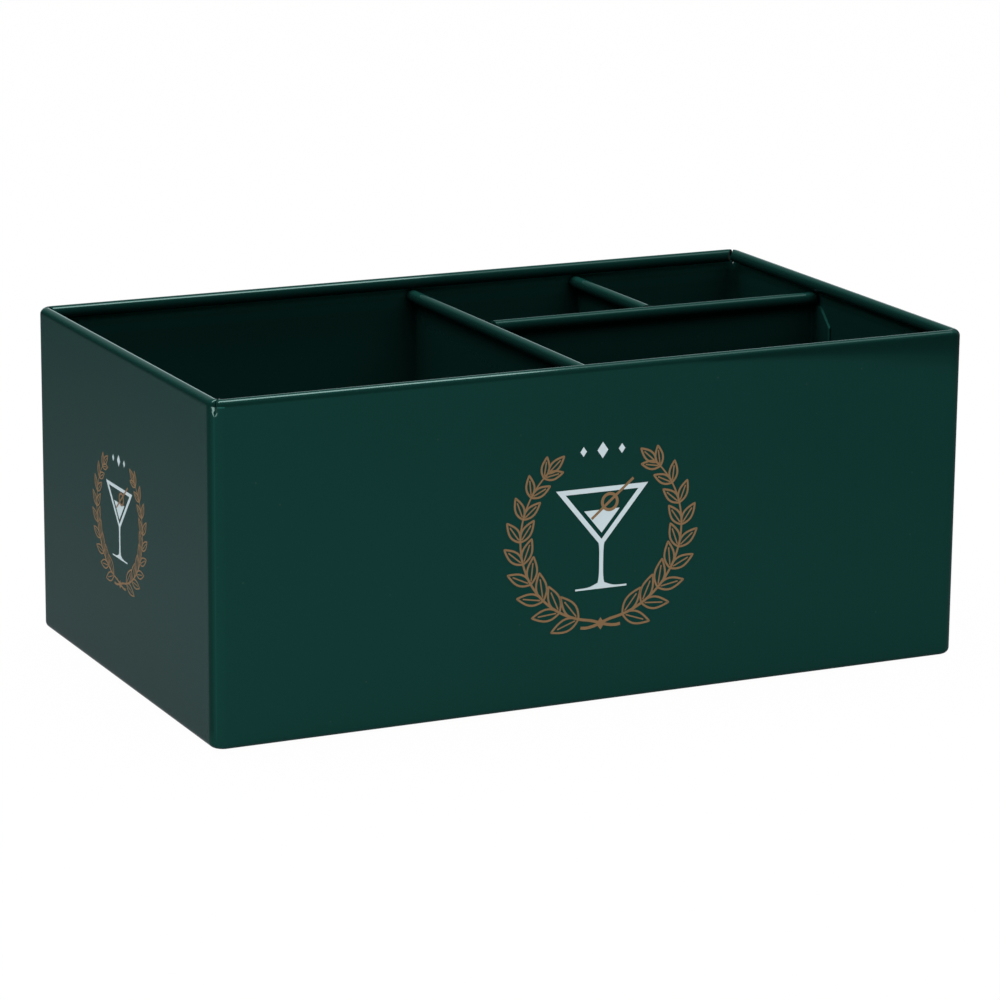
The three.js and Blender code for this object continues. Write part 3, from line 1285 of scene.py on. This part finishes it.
    def leaf_lines(
        self, base: Array, heading: float, size: tuple[float, float], lift: float
    ) -> list[Sheet]:
        """The lines of one leaf, its outline and a thinner rib.

        Args:
            base: Where the leaf leaves its stem.
            heading: Direction of the leaf in radians.
            size: Length and breadth of the leaf.
            lift: Thickness of the outline's ink.

        Returns:
            The two lines.
        """
        outline, rib = self.leaf(base, heading, *size)
        rib_width = 0.7 * self.line
        return [self.ribbon(outline, self.line, lift), self.ribbon(rib, rib_width, self.ink)]

    def layer(self, number: int) -> float:
        """Thickness of the ink where a line passes over others, so that no two tops coincide."""
        step = 0.12
        return self.ink * (1 + step * number)

    def garnish(self) -> list[Sheet]:
        """A stick through a round berry over the lip of the glass.

        Returns:
            Lines of ink.
        """
        middle, radius = np.array([2.6, 9.4]), 2.5
        low_end, high_end = [-3.4, 4.6], [10.4, 16.0]
        around = np.linspace(0, 2 * math.pi, 33)
        berry = middle + radius * np.stack([np.cos(around), np.sin(around)], axis=1)
        stick = np.linspace(low_end, high_end, 9)
        return [
            self.ribbon(berry, 1.5 * self.line, self.layer(9)),
            self.ribbon(stick, 1.3 * self.line, self.layer(10)),
        ]

    def glass(self) -> list[Sheet]:
        """A wide cone on a stem and a round foot. The cone is the band between a triangle and the
        same triangle drawn in towards the centre of its inscribed circle, with a drink filled in
        below its level. The foot swells in a bell towards the stem.

        Returns:
            Lines and patches of ink.
        """
        lip, throat, sole = 14.2, -4.2, -17.2
        level, wide, bar, drink_foot = 7.2, 15.4, 1.5, 4.3
        mast_top, mast_foot, mast_width, mast_swell = throat + 1.6, sole + 0.6, 1.3, 1.2
        foot_half, foot_edge, bell_height, bell_half = 8.6, 0.55, 1.5, 2.9
        corners = np.array([[-wide, lip], [wide, lip], [0.0, throat]])
        sides = np.linalg.norm(np.roll(corners, -1, axis=0) - np.roll(corners, 1, axis=0), axis=1)
        centre = sides @ corners / sides.sum()
        inward = 1 - bar / (lip - centre[1])
        share = np.linspace(0, 1, 9)[:-1, None]
        ways = [a * (1 - share) + b * share for a, b in zip(corners, np.roll(corners, -1, axis=0))]
        outer = np.concatenate([*ways, corners[:1]])
        inner = centre + inward * (outer - centre)
        tip = np.array([0.0, throat + drink_foot])
        slope = wide / (lip - throat)
        brim = np.array([-(level - tip[1]) * slope, level])
        drink = np.linspace(brim, tip, 7)
        down = np.linspace(0, 1, 13)
        mast = np.stack([np.zeros(13), mast_top + (mast_foot - mast_top) * down], axis=1)
        neck = mast_width + mast_swell * (2 * down - 0.9) ** 4
        across = np.linspace(-foot_half, foot_half, 33)
        floor = np.stack([across, np.full(33, sole)], axis=1)
        swell = bell_height * np.exp(-((across / bell_half) ** 2))
        bell = np.stack([across, sole + foot_edge + swell], axis=1)
        return [
            self.film(outer, inner, self.layer(2)),
            self.ribbon(mast, neck, self.layer(1)),
            self.film(floor, bell, self.ink),
            self.film(drink, drink * [-1, 1], self.ink),
        ]

    def lozenge(self, middle: Array, size: float, lift: float) -> Sheet:
        """A filled lozenge: its half breadth falls evenly from its middle to its points.

        Args:
            middle: Its middle in the print's plane.
            size: Half its height.
            lift: Thickness of the ink.

        Returns:
            The lozenge as a film.
        """
        slimness, blunt_tip = 0.72, 1e-3
        share = np.linspace(-1, 1, 5)
        half = size * slimness * (1 - np.abs(share)) + blunt_tip
        rise = middle[1] + size * share
        right = np.stack([middle[0] + half, rise], axis=1)
        left = np.stack([middle[0] - half, rise], axis=1)
        return self.film(right, left, lift)

    def lozenges(self) -> list[Sheet]:
        """Three lozenges between the tips of the sprigs, the middle one the largest.

        Returns:
            Patches of ink.
        """
        height = 25.5
        row = ((-6.4, 1.5), (0.0, 2.5), (6.4, 1.5))
        return [self.lozenge(np.array([across, height]), size, self.ink) for across, size in row]

    def build(self, copper: bpy.types.Material, white: bpy.types.Material) -> None:
        """Makes the two colours of the print as two pieces.

        Args:
            copper: The copper ink.
            white: The white ink.
        """
        place = self.wall.name.lower()
        layers = (
            (f"{place}_print_copper", copper, self.sprigs() + self.garnish()),
            (f"{place}_print_white", white, self.glass() + self.lozenges()),
        )
        for name, material, films in layers:
            piece = Piece(name, material, Slot.PAINT)
            for ink_film in films:
                piece.add(ink_film)
            piece.build()


class NodeTree:
    """Short calls for building a node tree."""

    def __init__(self, tree: bpy.types.NodeTree) -> None:
        """Takes the tree to build in."""
        self.tree = tree

    def add(self, kind: str, values: dict | None = None, **settings: object) -> bpy.types.Node:
        """Adds a node.

        Args:
            kind: Type of the node.
            values: Values or sockets to link, by the name of the input.
            settings: Settings of the node itself.

        Returns:
            The node.
        """
        node = self.tree.nodes.new(kind)
        for name, setting in settings.items():
            setattr(node, name, setting)
        for name, value in (values or {}).items():
            socket = node.inputs[name]
            if isinstance(value, bpy.types.NodeSocket):
                self.tree.links.new(value, socket)
            else:
                socket.default_value = value
        return node

    def math(self, operation: str, first: object, second: object) -> bpy.types.NodeSocket:
        """Result of a sum on two values or sockets."""
        return self.add("ShaderNodeMath", {0: first, 1: second}, operation=operation).outputs[0]

    def place(self) -> bpy.types.NodeSocket:
        """Place on the object, in its own frame."""
        return self.add("ShaderNodeTexCoord").outputs["Object"]

    def noise(self, scale: object, detail: float) -> bpy.types.NodeSocket:
        """Level of a noise in the object's frame."""
        values = {"Vector": self.place(), "Scale": scale, "Detail": detail}
        return self.add("ShaderNodeTexNoise", values).outputs["Fac"]

    def scaled(self, colour: object, level: object) -> bpy.types.NodeSocket:
        """A colour times a level."""
        values = {0: colour, "Scale": level}
        return self.add("ShaderNodeVectorMath", values, operation="SCALE").outputs[0]

    def mapped(self, value: object, source: tuple, target: tuple) -> bpy.types.NodeSocket:
        """Carries a value from one range to another and holds it there.

        Args:
            value: Value or socket to carry.
            source: Ends of the range that it comes from.
            target: Ends of the range that it goes to.

        Returns:
            The result as a socket.
        """
        values = {"Value": value, "From Min": source[0], "From Max": source[1]}
        values.update({"To Min": target[0], "To Max": target[1]})
        return self.add("ShaderNodeMapRange", values).outputs["Result"]

    def mixed(self, share: object, first: object, second: object) -> bpy.types.NodeSocket:
        """Mixes two colours.

        Args:
            share: Share of the second colour.
            first: One colour or socket.
            second: The other.

        Returns:
            The mixture as a socket.
        """
        node = self.add("ShaderNodeMix", {"Factor": share, 6: first, 7: second}, data_type="RGBA")
        return node.outputs[2]

    def ray(self, kind: str) -> bpy.types.NodeSocket:
        """1 for rays of a kind, such as Camera, and 0 for the rest."""
        return self.add("ShaderNodeLightPath").outputs[f"Is {kind} Ray"]


class Effects:
    """Shader node groups that the finishes share, each built once."""

    def __init__(self) -> None:
        """Builds the groups."""
        self.peel = self._orange_peel()
        self.drift = self._tone_drift()
        self.dust = self._dust()

    @staticmethod
    def _group(name: str, inputs: dict[str, tuple[str, object]], outputs: dict[str, str]) -> tuple:
        """Starts a group with named sockets.

        Args:
            name: Name of the group.
            inputs: Type and default of each input.
            outputs: Type of each output.

        Returns:
            The group, a builder for it, its inputs and its output node.
        """
        group = bpy.data.node_groups.new(name, "ShaderNodeTree")
        for socket, (kind, default) in inputs.items():
            made = group.interface.new_socket(socket, in_out="INPUT", socket_type=kind)
            made.default_value = default
        for socket, kind in outputs.items():
            group.interface.new_socket(socket, in_out="OUTPUT", socket_type=kind)
        nodes = NodeTree(group)
        entry = nodes.add("NodeGroupInput")
        leave = nodes.add("NodeGroupOutput")
        return group, nodes, entry.outputs, leave

    def _orange_peel(self) -> bpy.types.NodeTree:
        """Height of a sprayed coat: a fine ripple on a longer swell."""
        group, nodes, given, leave = self._group(
            "orange_peel",
            {"Ripple": ("NodeSocketFloat", 700.0), "Swell": ("NodeSocketFloat", 0.4)},
            {"Height": "NodeSocketFloat"},
        )
        swell_share = 0.22
        slow = nodes.math("MULTIPLY", given["Ripple"], swell_share)
        swell = nodes.math("MULTIPLY", nodes.noise(slow, 1.0), given["Swell"])
        height = nodes.math("ADD", nodes.noise(given["Ripple"], 1.0), swell)
        nodes.tree.links.new(height, leave.inputs["Height"])
        return group

    def _tone_drift(self) -> bpy.types.NodeTree:
        """Colour that drifts a little lighter and darker over the surface."""
        group, nodes, given, leave = self._group(
            "tone_drift",
            {
                "Colour": ("NodeSocketColor", (0.5, 0.5, 0.5, 1.0)),
                "Depth": ("NodeSocketFloat", 0.05),
                "Scale": ("NodeSocketFloat", 14.0),
            },
            {"Colour": "NodeSocketColor", "Shade": "NodeSocketFloat"},
        )
        cloud = nodes.noise(given["Scale"], 3.0)
        centred = nodes.math("SUBTRACT", cloud, 0.5)
        swing = nodes.math("MULTIPLY", nodes.math("MULTIPLY", centred, 2.0), given["Depth"])
        level = nodes.math("ADD", swing, 1.0)
        nodes.tree.links.new(nodes.scaled(given["Colour"], level), leave.inputs["Colour"])
        nodes.tree.links.new(cloud, leave.inputs["Shade"])
        return group

    def _dust(self) -> bpy.types.NodeTree:
        """Mask of small specks, thin on the ground."""
        group, nodes, given, leave = self._group(
            "dust",
            {"Scale": ("NodeSocketFloat", 260.0), "Size": ("NodeSocketFloat", 0.1)},
            {"Specks": "NodeSocketFloat"},
        )
        bare_share = 0.9
        cell = nodes.add("ShaderNodeTexVoronoi", {"Vector": nodes.place(), "Scale": given["Scale"]})
        near = nodes.mapped(cell.outputs["Distance"], (0.0, given["Size"]), (1.0, 0.0))
        parts = nodes.add("ShaderNodeSeparateColor", {"Color": cell.outputs["Color"]})
        few = nodes.math("GREATER_THAN", parts.outputs[0], bare_share)
        specks = nodes.math("MULTIPLY", near, few)
        nodes.tree.links.new(specks, leave.inputs["Specks"])
        return group


@dataclass(frozen=True)
class Finish:
    """A finish with grain, tone and gloss.

    Attributes:
        name: Name of the material.
        colour: Base colour, linear.
        roughness: Middle roughness.
        index: Refractive index of the surface.
        metal: Share of metal flake in the paint.
        edge_tint: Colour that the flake takes on at a flat angle.
        coat: Clear coat on rolled edges.
        toned: Whether the painted light and shade in the mesh's tone make the paint lighter or darker,
            and less metallic where it is painted much darker.
        ripple: Ripples of the coat in each metre.
        relief: Strength of the ripples.
        tone: How far the colour drifts.
        specks: Share of dust colour in a speck.
        dust_colour: Colour of the dust, linear.
    """

    name: str
    colour: tuple[float, float, float]
    roughness: float
    index: float
    metal: float = 0.0
    edge_tint: tuple[float, float, float] = (1.0, 1.0, 1.0)
    coat: float = 0.0
    toned: bool = False
    ripple: float = 700.0
    relief: float = 0.03
    tone: float = 0.05
    specks: float = 0.0
    dust_colour: tuple[float, float, float] = (0.30, 0.32, 0.31)

    def material(self, effects: Effects) -> bpy.types.Material:
        """Builds the material from the shared groups.

        Args:
            effects: The shared node groups.

        Returns:
            The material.
        """
        made = bpy.data.materials.new(self.name)
        made.use_nodes = True
        made.diffuse_color = (*self.colour, 1.0)
        made.node_tree.nodes.clear()
        nodes = NodeTree(made.node_tree)
        links = made.node_tree.links
        shader = nodes.add("ShaderNodeBsdfPrincipled")
        shader.inputs["IOR"].default_value = self.index
        shader.inputs["Metallic"].default_value = self.metal
        shader.inputs["Specular Tint"].default_value = (*self.edge_tint, 1.0)
        shader.inputs["Coat Roughness"].default_value = COAT_ROUGHNESS
        drift = nodes.add("ShaderNodeGroup", node_tree=effects.drift)
        drift.inputs["Colour"].default_value = (*self.colour, 1.0)
        drift.inputs["Depth"].default_value = self.tone
        colour = drift.outputs["Colour"]
        rough_ends = (self.roughness * (1 - ROUGHNESS_SWING), self.roughness * (1 + ROUGHNESS_SWING))
        rough = nodes.mapped(drift.outputs["Shade"], (0.0, 1.0), rough_ends)
        if self.specks > 0:
            dust = nodes.add("ShaderNodeGroup", node_tree=effects.dust)
            amount = nodes.math("MULTIPLY", dust.outputs["Specks"], self.specks)
            colour = nodes.mixed(amount, colour, (*self.dust_colour, 1.0))
        if self.toned:
            # Painted light and shade from the mesh's tone scale the colour; where the painted shade is
            # deep, less metal flake shows.
            tone = nodes.add("ShaderNodeAttribute", attribute_name="tone").outputs["Fac"]
            level = nodes.math("ADD", tone, 1.0)
            colour = nodes.scaled(colour, level)
            shown = nodes.math("MINIMUM", nodes.math("MULTIPLY", level, 2.0), 1.0)
            links.new(nodes.math("MULTIPLY", shown, self.metal), shader.inputs["Metallic"])
        peel = nodes.add("ShaderNodeGroup", node_tree=effects.peel)
        peel.inputs["Ripple"].default_value = self.ripple
        bump = nodes.add(
            "ShaderNodeBump",
            {"Height": peel.outputs["Height"], "Strength": self.relief, "Distance": RIPPLE_HEIGHT},
        )
        links.new(colour, shader.inputs["Base Color"])
        links.new(rough, shader.inputs["Roughness"])
        links.new(bump.outputs["Normal"], shader.inputs["Normal"])
        if self.coat > 0:
            shine = nodes.add("ShaderNodeAttribute", attribute_name="shine")
            weight = nodes.math("MULTIPLY", shine.outputs["Fac"], self.coat)
            links.new(weight, shader.inputs["Coat Weight"])
        leave = nodes.add("ShaderNodeOutputMaterial")
        links.new(shader.outputs["BSDF"], leave.inputs["Surface"])
        return made


GREEN_PAINT = Finish(
    "green_gloss_paint",
    (0.0072, 0.0451, 0.0377),
    0.08,
    1.05,
    metal=0.4,
    edge_tint=(1.0, 0.9, 0.99),
    coat=0.85,
    toned=True,
    specks=0.12,
)
COPPER_INK = Finish("copper_ink", (0.190, 0.112, 0.054), 0.42, 1.25, ripple=900.0, tone=0.1)
WHITE_INK = Finish("white_ink", (0.480, 0.560, 0.590), 0.42, 1.25, ripple=900.0, tone=0.04)
BLACK_RUBBER = Finish("black_rubber", (0.010, 0.010, 0.010), 0.8, 1.4, ripple=1500.0, relief=0.3)


@dataclass(frozen=True)
class Softbox:
    """Square-cornered soft light.

    Attributes:
        name: Name of the light.
        place: Where it stands, in millimetres.
        target: What it looks at.
        size: Width and height of its face.
        power: Power in watts.
        colour: Colour of its light.
    """

    name: str
    place: tuple[float, float, float]
    target: tuple[float, float, float]
    size: tuple[float, float]
    power: float
    colour: tuple[float, float, float] = (1.0, 1.0, 1.0)

    def build(self) -> None:
        """Makes the light, turned to its target."""
        lamp = bpy.data.lights.new(self.name, "AREA")
        lamp.shape = "RECTANGLE"
        lamp.size, lamp.size_y = self.size[0] * MM, self.size[1] * MM
        lamp.energy = self.power
        lamp.color = self.colour
        made = bpy.data.objects.new(self.name, lamp)
        made.matrix_world = looking(self.place, self.target)
        bpy.context.scene.collection.objects.link(made)


def looking(place: tuple[float, float, float], target: tuple[float, float, float]) -> Matrix:
    """Frame at a place whose -Z points at a target, with its X level.

    Args:
        place: Where it stands, in millimetres.
        target: What it looks at, in millimetres.

    Returns:
        The frame as a matrix, in metres.
    """
    back = np.array(place, dtype=float) - np.array(target, dtype=float)
    back = back / np.linalg.norm(back)
    level = np.cross([0.0, 0.0, 1.0], back)
    if np.linalg.norm(level) < TINY:
        level = np.array([1.0, 0.0, 0.0])
    level = level / np.linalg.norm(level)
    up = np.cross(back, level)
    return framed(level, up, back, np.array(place, dtype=float))


def framed(x: Array, y: Array, z: Array, place: Array) -> Matrix:
    """Matrix with the given axes and a place in millimetres."""
    rows = np.eye(4)
    rows[:3, :3] = np.stack([x, y, z], axis=1)
    rows[:3, 3] = place * MM
    return Matrix(rows.tolist())


OVERHEAD_COLOUR = (0.86, 1.0, 0.985)
SOFTBOXES = (
    Softbox(
        "overhead_box",
        (-85.0, 60.0, 900.0),
        (-85.0, 60.0, 0.0),
        (910.0, 360.0),
        5.6,
        OVERHEAD_COLOUR,
    ),
    Softbox(
        "overhead_side_box",
        (535.0, 60.0, 900.0),
        (535.0, 60.0, 0.0),
        (330.0, 360.0),
        0.37,
        OVERHEAD_COLOUR,
    ),
    Softbox(
        "front_left_box",
        (-420.0, -620.0, 76.0),
        (-20.0, 0.0, 60.0),
        (1000.0, 140.0),
        2.27,
    ),
)


@dataclass
class Studio:
    """Camera, lights, pale floor and surroundings.

    Attributes:
        place: Where the camera stands, in millimetres.
        azimuth: Direction that it looks in, in degrees from +Y towards +X.
        elevation: How far it looks down, in degrees.
        roll: Turn about its own axis, in degrees.
        focal: Focal length in frame widths.
        ambient: Light of the surroundings on the object.
        mirrored_tint: Colour of the surroundings in glossy surfaces.
        softboxes: The lamps.
    """

    place: tuple[float, float, float] = (-560.48, -1165.0, 374.44)
    azimuth: float = 25.76
    elevation: float = 14.21
    roll: float = -0.51
    focal: float = 4.239466
    ambient: float = 2.42
    mirrored_tint: tuple[float, float, float] = (0.70, 0.90, 0.88)
    softboxes: tuple[Softbox, ...] = SOFTBOXES

    def camera(self) -> None:
        """Sets up the camera from its place and its three angles."""
        azimuth, elevation, roll = np.radians([self.azimuth, self.elevation, self.roll])
        level = np.array([math.cos(azimuth), -math.sin(azimuth), 0.0])
        ahead = np.array([
            math.sin(azimuth) * math.cos(elevation),
            math.cos(azimuth) * math.cos(elevation),
            -math.sin(elevation),
        ])
        down = np.cross(ahead, level)
        right = math.cos(roll) * level + math.sin(roll) * down
        below = math.cos(roll) * down - math.sin(roll) * level
        lens = bpy.data.cameras.new("camera")
        lens.sensor_width = 36.0
        lens.lens = self.focal * lens.sensor_width
        lens.clip_start, lens.clip_end = 0.05, 50.0
        made = bpy.data.objects.new("camera", lens)
        made.matrix_world = framed(right, -below, -ahead, np.array(self.place))
        bpy.context.scene.collection.objects.link(made)
        bpy.context.scene.camera = made

    def floor(self) -> None:
        """Lays a wide pale floor. The camera and glossy surfaces see it glow, white to the camera
        and as a dim pool of light in a reflection, and a small matte share keeps the shadow."""
        reach, glow_share = 6.0, 0.985
        pool_place, pool_reach, pool_levels = (-0.15, 0.02, 0.0), (0.08, 0.52), (0.45, 0.17)
        corners = [(x * reach, y * reach, 0.0) for x, y in ((-1, -1), (1, -1), (1, 1), (-1, 1))]
        mesh = bpy.data.meshes.new("floor")
        mesh.from_pydata(corners, [], [(0, 1, 2, 3)])
        made = bpy.data.objects.new("floor", mesh)
        bpy.context.scene.collection.objects.link(made)
        paper = bpy.data.materials.new("pale_paper")
        paper.use_nodes = True
        paper.node_tree.nodes.clear()
        nodes = NodeTree(paper.node_tree)
        matte = nodes.add("ShaderNodeBsdfDiffuse", {"Color": (0.5, 0.5, 0.5, 1.0)})
        spot = {0: nodes.place(), 1: pool_place}
        away = nodes.add("ShaderNodeVectorMath", spot, operation="DISTANCE").outputs["Value"]
        level = nodes.math("MAXIMUM", nodes.ray("Camera"), nodes.mapped(away, pool_reach, pool_levels))
        glow = nodes.add("ShaderNodeEmission", {"Color": WHITE, "Strength": level})
        share = nodes.math("MULTIPLY", self._seen(nodes), glow_share)
        mixed = nodes.add("ShaderNodeMixShader", {0: share, 1: matte.outputs[0], 2: glow.outputs[0]})
        leave = nodes.add("ShaderNodeOutputMaterial")
        paper.node_tree.links.new(mixed.outputs[0], leave.inputs["Surface"])
        mesh.materials.append(paper)
        made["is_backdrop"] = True

    @staticmethod
    def _seen(nodes: NodeTree) -> bpy.types.NodeSocket:
        """1 for rays from the camera and for mirrored and refracted rays, 0 for the rest."""
        mirrored = nodes.math("MAXIMUM", nodes.ray("Glossy"), nodes.ray("Transmission"))
        return nodes.math("MAXIMUM", nodes.ray("Camera"), mirrored)

    def surroundings(self) -> None:
        """Sets a white backdrop, what is mirrored, which is white low down behind and to the right
        and dim elsewhere, and the soft light on the object, which comes from above."""
        low_stops = ((0.06, 1.0), (0.25, 0.32), (0.48, 0.15), (0.85, 0.04))
        right_stops = ((0.25, 0.06), (0.6, 1.0))
        behind_stops = ((0.3, 0.06), (0.7, 1.0))
        soft_stops = ((0.4, 0.0), (0.8, 1.0))
        world = bpy.data.worlds.new("studio")
        bpy.context.scene.world = world
        world.use_nodes = True
        world.node_tree.nodes.clear()
        nodes = NodeTree(world.node_tree)
        way = nodes.add("ShaderNodeTexCoord").outputs["Generated"]
        part = nodes.add("ShaderNodeSeparateXYZ", {0: way}).outputs
        low = self._ramp(nodes, part["Z"], low_stops)
        right = self._ramp(nodes, nodes.math("ADD", part["X"], 0.5), right_stops)
        behind = self._ramp(nodes, nodes.math("ADD", part["Y"], 0.5), behind_stops)
        soft = self._ramp(nodes, part["Z"], soft_stops)
        mirrored = nodes.math("MULTIPLY", low, nodes.math("MULTIPLY", right, behind))
        lit = nodes.math("MULTIPLY", soft, self.ambient)
        seen = self._seen(nodes)
        unseen = nodes.math("SUBTRACT", 1.0, seen)
        shown = nodes.math("MULTIPLY", nodes.math("MAXIMUM", mirrored, nodes.ray("Camera")), seen)
        strength = nodes.math("ADD", shown, nodes.math("MULTIPLY", lit, unseen))
        tint = nodes.mixed(nodes.ray("Glossy"), WHITE, (*self.mirrored_tint, 1.0))
        glow = nodes.add("ShaderNodeBackground", {"Color": tint, "Strength": strength})
        leave = nodes.add("ShaderNodeOutputWorld")
        world.node_tree.links.new(glow.outputs[0], leave.inputs["Surface"])

    @staticmethod
    def _ramp(nodes: NodeTree, value: object, stops: tuple) -> bpy.types.NodeSocket:
        """Grey level that follows a value through stops.

        Args:
            nodes: The tree to build in.
            value: Value or socket to follow.
            stops: Pairs of value and level, in rising order.

        Returns:
            The level as a socket.
        """
        ramp = nodes.add("ShaderNodeValToRGB", {"Fac": value})
        elements = ramp.color_ramp.elements
        for element, (place, level) in zip(elements, (stops[0], stops[-1])):
            element.position = place
            element.color = (level, level, level, 1.0)
        for place, level in stops[1:-1]:
            elements.new(place).color = (level, level, level, 1.0)
        return ramp.outputs["Color"]

    def build(self) -> None:
        """Sets up everything round the object."""
        bpy.context.scene.view_settings.view_transform = "Standard"
        self.camera()
        self.surroundings()
        self.floor()
        for softbox in self.softboxes:
            softbox.build()


class BarCaddy:
    """The whole caddy: two folded wraps, a floor panel, three dividers, four feet and the print."""

    def __init__(self, frame: dict) -> None:
        """Reads the sizes from the frame.
        """
        self.nodes = frame["nodes"]
        self.sizes = BoxSizes.from_frame()
        self.effects = Effects()
        deep = self.sizes.slit_depth
        front_left = Slit(5.2, 0.35, curl=0.8, glint=1.0)
        front_right = Slit(deep, 0.5, curl=0.0)
        back_right = Slit(deep, 1.15, curl=0.0, foot=0.24, flare=2.0)
        back_left = Slit(deep, 0.9, curl=0.0)
        front = (front_left, front_right, back_right)
        back = (back_right, back_left, front_left)
        self.front = WallWrap("front_wrap", (Wall.FRONT, Wall.RIGHT), self.sizes, front, shade=0.55)
        self.back = WallWrap(
            "back_wrap", (Wall.BACK, Wall.LEFT), self.sizes, back, end_painted_shade=0.33, end_painted_highlight=0.4
        )
        self.dividers = (
            Divider.from_frame("main_divider", self.sizes, turned=True, tab_side=1),
            Divider.from_frame("long_divider", self.sizes, turned=False, tab_side=-1),
            Divider.from_frame("short_divider", self.sizes, turned=True, tab_side=1),
        )
        corners = ("front_left", "front_right", "back_right", "back_left")
        self.feet = tuple(StickOnFoot(f"foot_{corner}") for corner in corners)
        self.prints = (
            Emblem(self.front, Wall.FRONT, (0.0, 54.0)),
            Emblem(self.back, Wall.LEFT, (-2.5, 53.0), scale=0.72),
        )

    def build(self) -> None:
        """Makes every piece and dresses the floor panel."""
        paint = GREEN_PAINT.material(self.effects)
        rubber = BLACK_RUBBER.material(self.effects)
        copper = COPPER_INK.material(self.effects)
        white = WHITE_INK.material(self.effects)
        for wrap in (self.front, self.back):
            wrap.build(paint)
        for divider in self.dividers:
            divider.build(paint)
        for foot in self.feet:
            foot.build(rubber)
        for emblem in self.prints:
            emblem.build(copper, white)
        panel = self.nodes["floor_panel"]
        panel.data.materials.clear()
        panel.data.materials.append(paint)
        LOG.info("floor_panel: dressed in paint")


def main() -> None:
    """Builds the studio and the caddy in order."""
    logging.basicConfig(level=logging.INFO, format="%(name)s %(message)s")
    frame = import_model()
    Studio().build()
    BarCaddy(frame).build()


if __name__ == "__main__":
    main()
